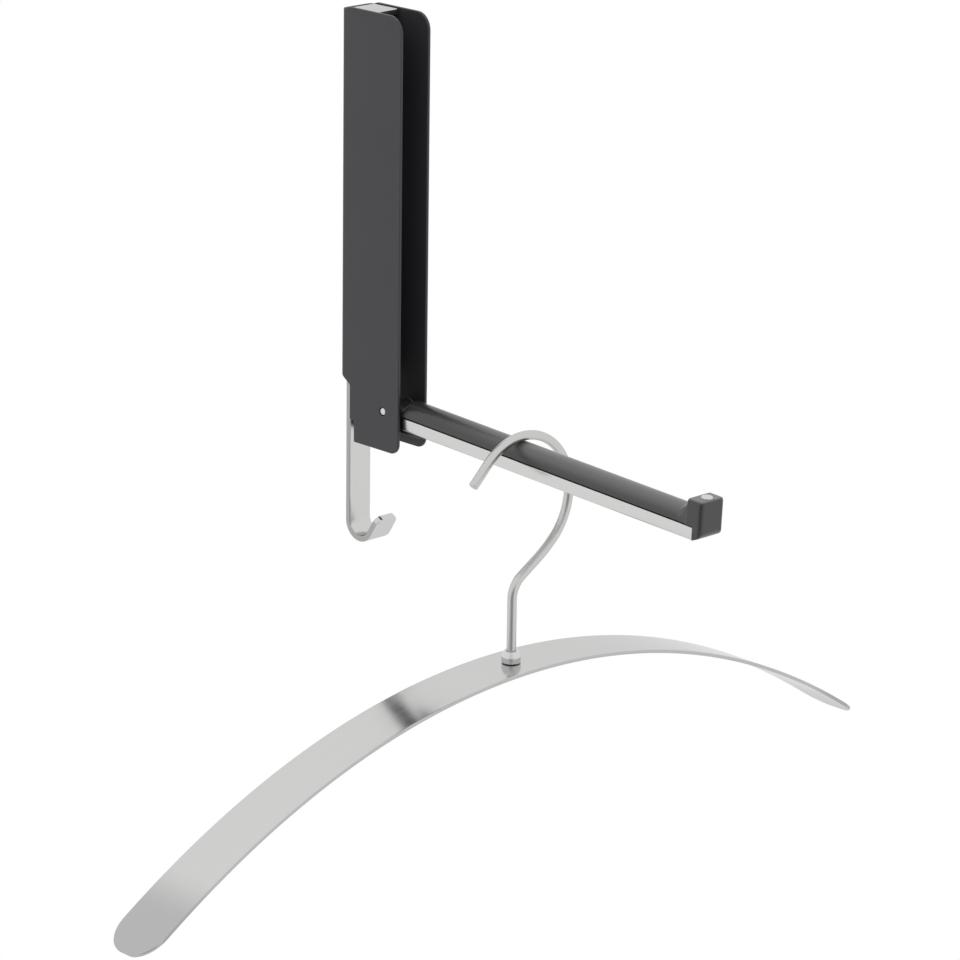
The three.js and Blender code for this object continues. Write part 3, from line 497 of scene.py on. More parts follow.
class Tree:
    """A node tree whose nodes all come from one method."""

    def __init__(self, node_tree):
        self.nodes = node_tree.nodes
        self.links = node_tree.links
        self.nodes.clear()

    def node(self, kind, settings=None, inputs=(), output=0):
        """Adds a node, applies its settings, then sets or links its inputs by name or place."""
        made = self.nodes.new(kind)
        for name, value in (settings or {}).items():
            setattr(made, name, value)
        for key, value in inputs.items() if isinstance(inputs, dict) else enumerate(inputs):
            if isinstance(value, Signal):
                self.links.new(value.socket, made.inputs[key])
            else:
                made.inputs[key].default_value = value
        return Signal(self, made.outputs[output])

    def mix(self, share, first, second):
        """A colour between two."""
        return self.node("ShaderNodeMix", {"data_type": "RGBA"},
                         {0: share, 6: colour(first), 7: colour(second)}, 2)

    def mix_shaders(self, share, first, second):
        """A shader between two."""
        return self.node("ShaderNodeMixShader", inputs=(share, first, second))

    def between(self, value, low, high, start=0.0):
        """Eases from a start to one while a value goes from low to high, and holds at both ends."""
        return self.node("ShaderNodeMapRange", {"interpolation_type": "SMOOTHSTEP"},
                         {"Value": value, "From Min": low, "From Max": high, "To Min": start})

    def on_object(self, scale=(1, 1, 1), turn=(0, 0, 0), shift=(0, 0, 0)):
        """Places on the object in metres, scaled, then turned, then shifted."""
        place = self.node("ShaderNodeTexCoord", output="Object")
        return self.node("ShaderNodeMapping", inputs={"Vector": place, "Location": shift, "Rotation": turn,
                                                      "Scale": scale})

    def on_blank(self, scale):
        """Places on the flat blank, in metres before they are scaled."""
        place = self.node("ShaderNodeUVMap", {"uv_map": "blank"})
        return self.node("ShaderNodeMapping", inputs={"Vector": place, "Scale": scale})

    def noise(self, place, scale, detail=2.0, roughness=0.5):
        """Noise around one half, with its scale in grains per unit of the place."""
        return self.node("ShaderNodeTexNoise", inputs={"Vector": place, "Scale": scale, "Detail": detail,
                                                       "Roughness": roughness})

    def bump(self, height, depth):
        """A normal bent by a height in shares of a depth in metres."""
        return self.node("ShaderNodeBump", inputs={"Height": height, "Distance": depth, "Strength": 1.0})

    def axis(self, place, name):
        """One coordinate of a place."""
        return self.node("ShaderNodeSeparateXYZ", inputs=(place,), output=name)

    def end(self, kind, shader):
        """Links a shader to the surface of the tree's output."""
        self.links.new(shader.socket, self.nodes.new(kind).inputs["Surface"])


def colour(value):
    """A signal as it is, or red, green and blue with full cover."""
    return value if isinstance(value, Signal) else (*value, 1.0)


def finish(name):
    """A new material and its empty node tree."""
    material = bpy.data.materials.new(name)
    material.use_nodes = True
    return material, Tree(material.node_tree)


def dress(tree, **inputs):
    """Ends a tree with a Principled shader. Inputs are named in lower case with underscores."""
    named = {key.replace("_", " ").title().replace("Ior", "IOR"): value for key, value in inputs.items()}
    tree.end("ShaderNodeOutputMaterial", tree.node("ShaderNodeBsdfPrincipled", inputs=named))


# Places from the frame

def box_of(node):
    """Lower and upper corner of a node's box in the frame."""
    low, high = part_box(node)
    return np.array(low), np.array(high)


def middle_of(node):
    """Middle of a node's box in the frame."""
    low, high = box_of(node)
    return (low + high) / 2


CHANNEL_LOW, CHANNEL_HIGH = box_of("housing")
CHANNEL_HALF_WIDTH = CHANNEL_HIGH[0]
CHANNEL_DEPTH = -CHANNEL_LOW[1]
CHANNEL_TOP = CHANNEL_HIGH[2]
CHANNEL_BOTTOM = CHANNEL_LOW[2]
JOINTS = {joint["name"]: joint for joint in frame["joints"]}
PIVOT = np.array(JOINTS["arm_fold"]["pos_m"])
SWIVEL = np.array(JOINTS["hanger_swivel"]["pos_m"])


# Finishes

# Painted sheen on the black moulding: the tops of the bar and the block are painted paler for the light
# from above, less so near the pivot for the channel's shade
PAINTED_SHEEN_LOW = 1 * MM  # above the pivot's height, where the bar's painted sheen starts
PAINTED_SHEEN_START = 25 * MM  # in front of the pivot, where the painted sheen starts to grow
PAINTED_SHEEN_FULL = 95 * MM
PAINTED_SHEEN_AT_ROOT = 0.05  # share of the painted sheen behind its start, a painted shade where the channel covers the bar


def powder_coat():
    """Fine matt powder coating: a shallow orange peel about 1 mm wide under a grain of 0.2 mm, paler where
    it is thin."""
    material, tree = finish("powder_coat")
    place = tree.on_object()
    grain = tree.noise(place, 4200.0, 2.0, 0.6)
    peel = tree.noise(place, 900.0, 1.0)
    cloud = tree.noise(place, 28.0, 3.0, 0.55)
    tone = tree.mix(cloud * 0.6 + grain * 0.4, (0.021, 0.0208, 0.0245), (0.034, 0.0335, 0.0385))
    relief = grain * 0.35 + peel * 0.65
    dress(tree, base_color=tone, specular_ior_level=0.46, roughness=0.33 + 0.12 * grain,
          normal=tree.bump(relief, 0.010 * MM))
    return material


def black_moulding():
    """Satin moulded plastic: an eroded grain of 0.2 mm and faint flow marks along the arm. Its colour is
    painted paler along the top of the bar and on the block's top, a painted sheen for the light from above,
    which fades to painted shade near the pivot."""
    material, tree = finish("black_moulding")
    grain = tree.noise(tree.on_object(), 5200.0, 2.0, 0.6)
    flow = tree.noise(tree.on_object((90.0, 6.0, 90.0)), 1.0, 3.0)
    tone = tree.mix(flow * 0.7 + grain * 0.3, (0.013, 0.013, 0.014), (0.020, 0.020, 0.021))
    to_pivot = Matrix.Rotation(-DROOP, 3, "X") @ Vector(-PIVOT)
    on_arm_axes = tree.on_object(turn=(-DROOP, 0, 0), shift=tuple(to_pivot))
    outward, upward = tree.axis(on_arm_axes, "Y"), tree.axis(on_arm_axes, "Z")
    rise_start = BLOCK_TOP_LENGTH - ARM_LENGTH
    # painted sheen: a paler colour on the bar's upper part and the block's top, faded near the pivot as
    # painted shade
    sheen_on_bar = tree.between(upward, PAINTED_SHEEN_LOW, BAR_RADIUS)
    sheen_on_bar = sheen_on_bar * tree.between(outward, rise_start, rise_start + BLOCK_RISE)
    painted_sheen_bar = sheen_on_bar * tree.between(outward, -PAINTED_SHEEN_START, -PAINTED_SHEEN_FULL, PAINTED_SHEEN_AT_ROOT)
    painted_sheen_block = tree.between(upward, BLOCK_TOP - BLOCK_BROW, BLOCK_TOP)
    tone = tree.mix(painted_sheen_bar + painted_sheen_block, tone, (0.082, 0.082, 0.083))
    dress(tree, base_color=tone, specular_ior_level=0.75, roughness=0.24 + 0.10 * grain + 0.06 * flow,
          normal=tree.bump(grain, 0.005 * MM))
    return material


def brushed_steel(name, tint, roughness, line_width, depth=0.003 * MM, spread=0.08, painted_shade=()):
    """Steel brushed along its length: lines about 60 mm long whose width is given, in two sizes, with a
    faint cloudiness. Each zone of painted shade, where the colour is painted darker, is (axis, middle,
    distance from the middle, width over which it starts, how dark)."""
    material, tree = finish(name)
    fine = tree.noise(tree.on_blank((16.0, 1 / line_width, 1.0)), 1.0, 3.0, 0.6)
    broad = tree.noise(tree.on_blank((9.0, 0.22 / line_width, 1.0)), 1.0, 2.0)
    cloud = tree.noise(tree.on_object(), 35.0, 2.0)
    dark, light = ([value * share for value in tint] for share in (0.94, 1.03))
    tone = tree.mix(fine * 0.5 + broad * 0.5, dark, light)
    # painted shade: beyond a distance from a middle line the colour is painted darker, for the shade on
    # side faces and ends
    for axis, middle, start, width, share in painted_shade:
        offset = tree.axis(tree.on_object(), axis) - float(middle)
        distance = tree.node("ShaderNodeMath", {"operation": "ABSOLUTE"}, (offset,))
        tone = tree.mix(tree.between(distance, start, start + width) * share, tone, (0.25, 0.25, 0.25))
    rough = roughness + spread * (fine + 0.75 * broad - 0.5 * cloud - 0.75)
    relief = fine * 0.6 + broad * 0.4
    dress(tree, base_color=tone, metallic=1.0, specular_tint=(0.82, 0.82, 0.82, 1), roughness=rough,
          normal=tree.bump(relief, depth))
    return material


def turned_steel():
    """Bright turned steel: fine rings from the lathe, which follow the blank's first coordinate."""
    material, tree = finish("turned_steel")
    rings = tree.noise(tree.on_blank((9000.0, 12.0, 1.0)), 1.0, 1.0)
    haze = tree.noise(tree.on_object(), 900.0, 2.0)
    tone = tree.mix(haze, (0.61, 0.61, 0.615), (0.69, 0.69, 0.685))
    dress(tree, base_color=tone, metallic=1.0, roughness=0.20 + 0.07 * haze,
          normal=tree.bump(rings, 0.001 * MM))
    return material


def sintered_bronze():
    """Porous sintered bronze: dark pores in a dull gold."""
    material, tree = finish("sintered_bronze")
    pores = tree.between(tree.noise(tree.on_object(), 6000.0, 2.0), 0.45, 0.6)
    tone = tree.mix(pores, (0.20, 0.13, 0.06), (0.45, 0.32, 0.15))
    dress(tree, base_color=tone, metallic=1.0, roughness=0.6 - 0.15 * pores,
          normal=tree.bump(pores, 0.01 * MM))
    return material


def black_nylon():
    """Black nylon with a faint mould texture."""
    material, tree = finish("black_nylon")
    cloud = tree.noise(tree.on_object(), 450.0, 3.0)
    tone = tree.mix(cloud, (0.040, 0.040, 0.042), (0.060, 0.060, 0.062))
    dress(tree, base_color=tone, roughness=0.4 + 0.15 * cloud, normal=tree.bump(cloud, 0.01 * MM))
    return material


POWDER_COAT = powder_coat()
MOULDING = black_moulding()
# the strip's side faces are painted darker, a painted shade
STRIP_STEEL = brushed_steel("strip_steel", (0.62, 0.615, 0.61), 0.19, 0.35 * MM,
                            painted_shade=[("X", 0, 6.3 * MM, 0.15 * MM, 0.6)])
RAIL_STEEL = brushed_steel("rail_steel", (0.66, 0.655, 0.65), 0.24, 0.3 * MM)
# the arch's ends and side faces are painted darker, a painted shade
HANGER_STEEL = brushed_steel("hanger_steel", (0.635, 0.632, 0.628), 0.17, 0.4 * MM,
                             painted_shade=[("X", SWIVEL[0], 190 * MM, 22 * MM, 0.42),
                                   ("Y", SWIVEL[1], 14.1 * MM, 0.2 * MM, 0.35)])
WIRE_STEEL = brushed_steel("wire_steel", (0.60, 0.595, 0.585), 0.30, 0.3 * MM, depth=0.0006 * MM,
                           spread=0.03)
TURNED_STEEL = turned_steel()
BRONZE = sintered_bronze()
NYLON = black_nylon()


# Pieces

def ring_piece(name, material, body, node, rings, walked, capped=True):
    """A piece that is one skin over rings of points."""
    shell = Shell()
    shell.rings(rings, walked, capped)
    shell.build(name, material, body, node)


def turned_piece(name, body, node, profile, place, axis):
    """A piece of bright steel that is a profile turned about an axis."""
    rings = turned(profile, place, axis)
    ring_piece(name, TURNED_STEEL, body, node, rings, walked_along(profile), capped=False)


# Wall unit

def unrolled(depth):
    """Distance from the web's middle to a point of the channel's outer skin at a depth from the wall,
    walked along the sheet."""
    flat = CHANNEL_HALF_WIDTH - BEND_RADIUS
    angle = np.arccos(np.clip(1 - depth / BEND_RADIUS, 0, 1))
    return flat + BEND_RADIUS * angle + np.maximum(depth - BEND_RADIUS, 0)


def folded(blank, depth):
    """Folds the channel's blank: within a bend, the point at an angle a lies at the bend's centre plus its
    radius less the depth, times sine a sideways and cosine a towards the wall."""
    flat = CHANNEL_HALF_WIDTH - BEND_RADIUS
    side = np.sign(blank[:, 0])
    walked = np.abs(blank[:, 0])
    angle = np.clip((walked - flat) / BEND_RADIUS, 0, math.pi / 2)
    beyond = np.maximum(walked - flat - BEND_RADIUS * math.pi / 2, 0)
    radius = BEND_RADIUS - depth
    x = side * (np.minimum(walked, flat) + radius * np.sin(angle))
    y = -BEND_RADIUS + radius * np.cos(angle) - beyond
    return np.stack([x, y, blank[:, 1]], 1)


def channel():
    """The channel is cut as one flat blank, with a hole for the pin in each flange, and folded."""
    slope = (WEB_END - SLANT_END) / CUTOUT_DEPTH
    bend_angles = np.linspace(0, math.pi / 2, CORNER_STEPS + 1)
    bend_depths = BEND_RADIUS * (1 - np.cos(bend_angles))
    low = CHANNEL_BOTTOM
    web_top = CHANNEL_TOP - WEB_DROP
    flange = filleted([
        (BEND_RADIUS, low + WEB_END - slope * BEND_RADIUS, 0),
        (CUTOUT_DEPTH, low + SLANT_END, CUTOUT_RADIUS),
        (CUTOUT_DEPTH, low + FOOT_HEIGHT, CUTOUT_RADIUS), (FOOT_DEPTH, low + FOOT_HEIGHT, CUTOUT_RADIUS),
        (FOOT_DEPTH, low, SHEET_EDGE * 2), (CHANNEL_DEPTH, low, FLANGE_FOOT_RADIUS),
        (CHANNEL_DEPTH, CHANNEL_TOP, FLANGE_TOP_RADIUS), (WEB_SLANT_DEPTH, CHANNEL_TOP, CUTOUT_RADIUS),
        (BEND_RADIUS, web_top, 0),
    ])
    flange[:, 0] = unrolled(flange[:, 0])
    bend_s = unrolled(bend_depths)[:-1]
    bend_low = np.stack([bend_s, low + WEB_END - slope * bend_depths[:-1]], 1)
    bend_high = np.stack([bend_s, np.full(len(bend_s), web_top)], 1)
    half = np.concatenate([bend_low, flange, bend_high[::-1]])
    outline = np.concatenate([half, half[::-1] * (-1, 1)])
    columns = [(step, len(half) - 1 - step) for step in range(CORNER_STEPS + 1)]
    lines = columns + [(len(outline) - 1 - a, len(outline) - 1 - b) for a, b in columns]
    hole_radius = pin_radius() + PIN_HOLE_GAP
    angles = -np.linspace(0, 2 * math.pi, ROUND_SIDES // 2, endpoint=False)
    hole = hole_radius * np.stack([np.cos(angles), np.sin(angles)], 1)
    centre = np.array([float(unrolled(-PIVOT[1])), PIVOT[2]])
    shell = Shell()
    plate(shell, [outline, hole + centre, hole + centre * (-1, 1)], lines, SHEET, SHEET_EDGE, folded)
    shell.build("channel", POWDER_COAT, "wall_unit", "housing")


def pin_radius():
    """Half the height of the frame's pin."""
    low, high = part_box("pivot_pin")
    return (high[2] - low[2]) / 2


def strip_with_hook():
    """The strip's section is carried back along its tab, down the web and round the hook. Near the tip the
    section narrows by the tip's quarter circle, and at both ends it shrinks by the round edge's."""
    low, high = box_of("hook_strip")
    half = STRIP_THICKNESS / 2
    middle_y = high[1] - half
    front = tab_front()
    centre_z = low[2] + half + HOOK_BEND_RADIUS
    stretches = [
        (middle_y - TAB_BEND_RADIUS - front, 0.0), arc(TAB_BEND_RADIUS, -math.pi / 2),
        (high[2] - half - TAB_BEND_RADIUS - centre_z, 0.0), arc(HOOK_BEND_RADIUS, -HOOK_TURN),
        (HOOK_LIP, 0.0),
    ]
    route = Route(front, high[2] - half, 0.0, stretches)
    tip = np.concatenate([quarter(HOOK_TIP_RADIUS, CORNER_STEPS), quarter(STRIP_EDGE)])
    walked = route.marks(np.concatenate([quarter(STRIP_EDGE), route.length - tip]))
    start_in = end_inset(walked, STRIP_EDGE)
    plan_in = end_inset(route.length - walked, HOOK_TIP_RADIUS)
    edge_in = np.maximum(start_in, end_inset(route.length - walked, STRIP_EDGE))
    width = high[0] - low[0]
    section = rounded_bar(width / 2 - plan_in - edge_in, half - edge_in, STRIP_EDGE - edge_in)
    rings = swept(route, walked, section, -ROOMWARD, ASIDE)
    ring_piece("strip_with_hook", STRIP_STEEL, "wall_unit", "hook_strip", rings, walked)


def tab_front():
    """Where the tab's front edge stands, read from the highest points of the frame's strip."""
    points = np.array([vertex.co for vertex in frame["nodes"]["hook_strip"].data.vertices])
    top = points[points[:, 2] > points[:, 2].max() - STRIP_THICKNESS]
    return float(top[:, 1].min())


def stop_tongue():
    """A flat tongue under the arm, fixed across the channel and narrower in front of it, with round front
    corners."""
    low, high = box_of("arm_stop")
    narrow, soft = TONGUE_HALF_WIDTH, 2 * TONGUE_EDGE
    left = [(-high[0], high[1], soft), (-high[0], -TONGUE_SHOULDER, soft),
            (-narrow, -TONGUE_SHOULDER, soft), (-narrow, low[1], TONGUE_RADIUS)]
    outline = filleted(left + [(-x, y, radius) for x, y, radius in reversed(left)])
    shell = Shell()

    def laid(blank, depth):
        return np.column_stack([blank, high[2] - depth])

    plate(shell, [outline], [], high[2] - low[2], TONGUE_EDGE, laid)
    shell.build("stop_tongue", POWDER_COAT, "wall_unit", "arm_stop")


def pivot_pin():
    """A pin: a rectangle with round outer corners turned about the hinge's axis."""
    low, high = box_of("pivot_pin")
    radius = pin_radius()
    edge = PIN_EDGE_SHARE * radius
    profile = filleted([(0, low[0], 0), (radius, low[0], edge), (radius, high[0], edge), (0, high[0], 0)])
    turned_piece("pivot_pin_turned", "wall_unit", "pivot_pin", profile, PIVOT * (0, 1, 1), ASIDE)


# Screws

def cross(x, y, radius):
    """Depth share of a cross recess at a place on a head: one inside either bar of the cross, eased to zero
    over a soft edge by three times the share squared less twice its cube."""
    shares = (CROSS_LENGTH_SHARE, CROSS_WIDTH_SHARE, CROSS_SOFT_SHARE)
    length, width, soft = (share * radius for share in shares)

    def bar(a, b):
        near_a = np.clip((length / 2 - np.abs(a)) / soft, 0, 1)
        near_b = np.clip((width / 2 - np.abs(b)) / soft, 0, 1)
        return near_a * near_b

    share = np.maximum(bar(x, y), bar(y, x))
    return share * share * (3 - 2 * share)


def screw(node, body, place, axis, radius, dome, rim, shank, length, recess):
    """A screw whose head is a dome over an upright rim, or flat and countersunk where the rim is below
    zero, with a cross recess pressed into it. A place on the head at a distance r stands dome times the
    root of 1 - r squared over the head's radius squared above the rim."""
    distances = radius * np.sin(np.linspace(0, math.pi / 2, ROUND_SIDES // 2))
    heights = max(rim, 0) + dome * np.sqrt(np.clip(1 - (distances / radius) ** 2, 0, 1))
    head = np.stack([distances, heights], 1)
    profile = np.concatenate([head, [(radius, 0), (shank, min(rim, 0)), (shank, -length), (0, -length)]])
    rings = turned(profile, np.zeros(3), axis)
    across, third = square_to(axis)
    pressed = cross(rings @ across, rings @ third, radius)
    pressed[len(head):] = 0
    rings = rings - pressed[..., None] * recess * axis + place
    ring_piece(f"{node}_turned", TURNED_STEEL, body, node, rings, walked_along(profile),
               capped=False)


def wall_screws():
    """Pan-head screws on the strip's face, turned into the wall, with the heights of the frame's heads."""
    strip_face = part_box("hook_strip")[1][1] - STRIP_THICKNESS
    for node in ("wall_screw_upper", "wall_screw_lower"):
        low, high = box_of(node)
        seat = np.array([PIVOT[0], strip_face, middle_of(node)[2]])
        radius = (high[0] - low[0]) / 2
        height = strip_face - low[1]
        dome = WALL_SCREW_DOME_SHARE * height
        screw(node, "wall_unit", seat, ROOMWARD, radius, dome, rim=height - dome,
              shank=WALL_SCREW_SHANK_SHARE * radius, length=high[1] - strip_face,
              recess=WALL_SCREW_RECESS_SHARE * height)


# Arm

def on_arm(points):
    """Moves points from the arm's own frame, whose origin is the pivot and whose length runs along -Y, into
    the row's: they turn down about the pivot by the droop."""
    x, y, z = np.moveaxis(points, -1, 0)
    return np.stack([x, y * math.cos(DROOP) - z * math.sin(DROOP),
                     y * math.sin(DROOP) + z * math.cos(DROOP)], -1) + PIVOT


def moulding_lengths(block_start, top_start, keel_end):
    """Places of the moulding's sections along the arm: even steps of angle round the knuckle, the rise and
    the block's front edges, and a pair of places a hair apart wherever the outline steps."""
    quarter_turn = np.linspace(0, math.pi / 2, 3 * CORNER_STEPS)
    steps = np.array([KNUCKLE_LENGTH, keel_end, block_start])
    edges = [quarter(radius, CORNER_STEPS) for radius in (BLOCK_CHIN, BLOCK_EDGE, BLOCK_BROW)]
    rise_start = top_start - BLOCK_RISE
    lengths = np.unique(np.concatenate([
        -KNUCKLE_RADIUS * np.cos(quarter_turn), np.linspace(0, CROWN_FOOT, SPAN_STEPS), steps, steps + HAIR,
        np.linspace(CROWN_FOOT, CROWN_START, CORNER_STEPS),
        np.linspace(CROWN_START, rise_start, SPAN_STEPS),
        top_start - BLOCK_RISE * (1 - np.sin(quarter_turn)), ARM_LENGTH - np.concatenate(edges),
    ]))
    return lengths[np.append(True, np.diff(lengths) > HAIR / 3)]


def moulding_underside(lengths, block_start, keel_end):
    """Height of the moulding's underside: round under the knuckle, then along the line that touches the
    knuckle and ends at the rail's lower start, and under the block a slope. The line touches the knuckle at
    the angle of its far end, seen from the pivot, less the arc cosine of the knuckle's radius over that
    end's distance."""
    reach = math.hypot(keel_end, RAIL_UNDERSIDE)
    touch = math.atan2(-RAIL_UNDERSIDE, keel_end) - math.acos(KNUCKLE_RADIUS / reach)
    tangent = (KNUCKLE_RADIUS - lengths * math.cos(touch)) / math.sin(touch)
    below_pivot = -np.sqrt(np.clip(KNUCKLE_RADIUS ** 2 - lengths ** 2, 0, None))
    bottom = np.where(lengths < KNUCKLE_RADIUS * math.cos(touch), below_pivot, tangent)
    slope = BLOCK_UNDERSIDE_RISE * (lengths - block_start) / BLOCK_LENGTH
    chin = slope + end_inset(ARM_LENGTH - lengths, BLOCK_CHIN)
    return np.where(lengths > block_start, chin - BLOCK_BOTTOM, bottom)


def moulding_foot(half_width, side_top, side_foot, over_rail, block):
    """The points of each section under its straight side: the keel that stands in the rail, the flat beside
    it, and an edge of two bevels."""
    keel_foot = np.where(over_rail, -RAIL_UNDERSIDE + RAIL_SHEET + SEAM, side_foot)
    keel_half = np.minimum(BAR_RADIUS - RAIL_SHEET - SEAM, half_width - BAR_EDGE)
    edge = np.minimum(np.where(block, BLOCK_FOOT_EDGE, BAR_EDGE), side_top - side_foot)
    bevel = BAR_BEVEL_SHARE * edge
    return np.stack([
        [keel_half, keel_foot], [keel_half, side_foot], [half_width - edge, side_foot],
        [half_width - bevel, side_foot + bevel], [half_width, side_foot + edge],
    ]).transpose(2, 0, 1)


def arm_moulding():
    """The arm's black moulding is a skin through sections across the arm. A section is a crown over
    straight sides: at an angle a its half width goes with cosine a to a power and its height over the base
    with sine a to the same power, one for the half-round bar and less towards the square block. Towards the
    knuckle the crown falls along a smooth step, three times the share squared less twice its cube."""
    base = SEAM + RAIL_HEIGHT - RAIL_UNDERSIDE
    crown = base + BAR_RADIUS
    block_start = ARM_LENGTH - BLOCK_LENGTH
    top_start = ARM_LENGTH - BLOCK_TOP_LENGTH
    keel_end = RAIL_START - SEAM
    lengths = moulding_lengths(block_start, top_start, keel_end)
    knuckle = lengths <= KNUCKLE_LENGTH
    block = lengths > block_start
    over_rail = (lengths > keel_end) & ~block
    from_front = ARM_LENGTH - lengths

    rise = np.clip((lengths - top_start + BLOCK_RISE) / BLOCK_RISE, 0, 1)
    swell = 1 - np.sqrt(1 - rise ** 2)
    power = 1 / (1 + BLOCK_SQUARENESS * rise ** 2)
    half_width = BAR_RADIUS + (BLOCK_HALF_WIDTH - BAR_RADIUS) * swell - end_inset(from_front, BLOCK_EDGE)
    fall = np.clip((lengths - CROWN_FOOT) / (CROWN_START - CROWN_FOOT), 0, 1)
    fall = fall ** 2 * (3 - 2 * fall)
    top = KNUCKLE_RADIUS + (crown - KNUCKLE_RADIUS) * fall + (BLOCK_TOP - crown) * swell
    height = top - base - end_inset(from_front, BLOCK_BROW)
    on_circle = np.sqrt(np.clip(KNUCKLE_RADIUS ** 2 - np.minimum(lengths, 0) ** 2, 0, None))
    bottom = moulding_underside(lengths, block_start, keel_end)

    angles = np.linspace(0, math.pi, 4 * CORNER_STEPS + 1)
    cosine, sine = np.cos(angles), np.abs(np.sin(angles))
    x = half_width[:, None] * np.sign(cosine) * np.abs(cosine) ** power[:, None]
    z = base + height[:, None] * sine ** power[:, None]
    half_width = np.where(knuckle, KNUCKLE_HALF_WIDTH, half_width)
    x = np.clip(x, -half_width[:, None], half_width[:, None])
    z = np.minimum(z, np.where(lengths < 0, on_circle, np.inf)[:, None])
    z = np.maximum(z, np.where(knuckle, bottom, -np.inf)[:, None])
    z = np.maximum(z, np.where(over_rail, base + SEAM_RELIEF, -np.inf)[:, None])

    side_foot = np.minimum(np.where(over_rail, base + SEAM_RELIEF, bottom), z[:, 0])
    foot = moulding_foot(half_width, z[:, 0], side_foot, over_rail, block)
    outline = np.concatenate([foot, np.stack([x, z], 2), foot[:, ::-1] * (-1, 1)], 1)
    middle = outline[-1:].mean(1, keepdims=True)
    outline = np.concatenate([outline, middle + (outline[-1:] - middle) * FRONT_RING_SHARE])
    lengths = np.append(lengths, ARM_LENGTH)
    y = np.broadcast_to(-lengths[:, None], outline.shape[:2])
    rings = on_arm(np.stack([outline[..., 0], y, outline[..., 1]], 2))
    ring_piece("arm_moulding", MOULDING, "arm", "arm_bar", rings, lengths)


def rail_tray():
    """The rail is a folded tray: the outline of its section is a U with round edges, carried along the arm
    and shrunk at both ends by the round edge's quarter circle."""
    half, inner, floor = BAR_RADIUS, BAR_RADIUS - RAIL_SHEET, RAIL_SHEET
    section = filleted([
        (-half, 0, RAIL_OUTER_RADIUS), (half, 0, RAIL_OUTER_RADIUS), (half, RAIL_HEIGHT, RAIL_LIP_RADIUS),
        (inner, RAIL_HEIGHT, RAIL_LIP_RADIUS), (inner, floor, RAIL_INNER_RADIUS),
        (-inner, floor, RAIL_INNER_RADIUS), (-inner, RAIL_HEIGHT, RAIL_LIP_RADIUS),
        (-half, RAIL_HEIGHT, RAIL_LIP_RADIUS),
    ], EDGE_STEPS)
    length = ARM_LENGTH - BLOCK_LENGTH - SEAM - RAIL_START
    walked = np.concatenate([quarter(RAIL_EDGE), length - quarter(RAIL_EDGE)[::-1]])
    edge_in = end_inset(np.minimum(walked, length - walked), RAIL_EDGE)
    outline = np.stack([inset(section, distance) for distance in edge_in])
    y = np.broadcast_to(-(RAIL_START + walked)[:, None], outline.shape[:2])
    rings = on_arm(np.stack([outline[..., 0], y, outline[..., 1] - RAIL_UNDERSIDE], 2))
    ring_piece("rail_tray", RAIL_STEEL, "arm", "arm_rail", rings, walked)


def arm_axis():
    """The arm's own upward direction."""
    return np.array([0.0, -math.sin(DROOP), math.cos(DROOP)])


def arm_length_of(node):
    """Distance along the arm from the pivot to a node's middle."""
    offset = middle_of(node) - PIVOT
    return -(offset[1] * math.cos(DROOP) + offset[2] * math.sin(DROOP))


def rail_screws():
    """Countersunk screws, a little proud of the rail's underside."""
    for number in (1, 2, 3):
        node = f"rail_screw_{number}"
        place = on_arm(np.array([0.0, -arm_length_of(node), -RAIL_UNDERSIDE]))
        screw(node, "arm", place, -arm_axis(), **RAIL_SCREW)


def end_screw():
    """A domed screw let into the block's top."""
    place = on_arm(np.array([0.0, -arm_length_of("end_screw"), BLOCK_TOP - SEAM]))
    screw("end_screw", "arm", place, arm_axis(), **END_SCREW)


# Hanger

def bow_route():
    """Middle line of the wire in the plane of the hanger, from its tip over the bow and down the shaft."""
    heading = BOW_START - math.pi / 2
    join_x = BOW_OFFSET + BOW_RADIUS * math.cos(BOW_START)
    join_z = BOW_HEIGHT + BOW_RADIUS * math.sin(BOW_START)
    start_x = join_x - TIP_LENGTH * math.cos(heading)
    start_z = join_z - TIP_LENGTH * math.sin(heading)
    bow = [(TIP_LENGTH, 0.0), arc(BOW_RADIUS, -BOW_TURN), arc(RETURN_RADIUS, -RETURN_TURN)]
    _, x, z, slant = Route(start_x, start_z, heading, bow).starts[-1]
    neck_width = NECK_RADIUS * (1 + math.sin(slant))
    bow.append(((neck_width - x) / math.cos(slant), 0.0))
    bow.append(arc(NECK_RADIUS, -math.pi / 2 - slant))
    _, x, z, _ = Route(start_x, start_z, heading, bow).starts[-1]
    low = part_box("hanger_hook")[0][2] - SWIVEL[2]
    bow.append((float(z - low), 0.0))
    return Route(start_x, start_z, heading, bow)


def wire_hook():
    """A circle carried along the bow, smaller at the cut end by the round edge's quarter circle."""
    route = bow_route()
    walked = route.marks(quarter(WIRE_EDGE))
    section = circle(WIRE_RADIUS - end_inset(walked, WIRE_EDGE))
    rings = swept(route, walked, section, ASIDE, -ROOMWARD) + SWIVEL
    ring_piece("wire_hook", WIRE_STEEL, "hanger_upper", "hanger_hook", rings, walked)


def arch_drop(share):
    """How far the arch lies under its middle, at a share of the half span: mostly the square, with a little
    of the fourth power."""
    return HANGER_RISE * ((1 - ARCH_FOURTH_POWER_SHARE) * share ** 2 + ARCH_FOURTH_POWER_SHARE * share ** 4)


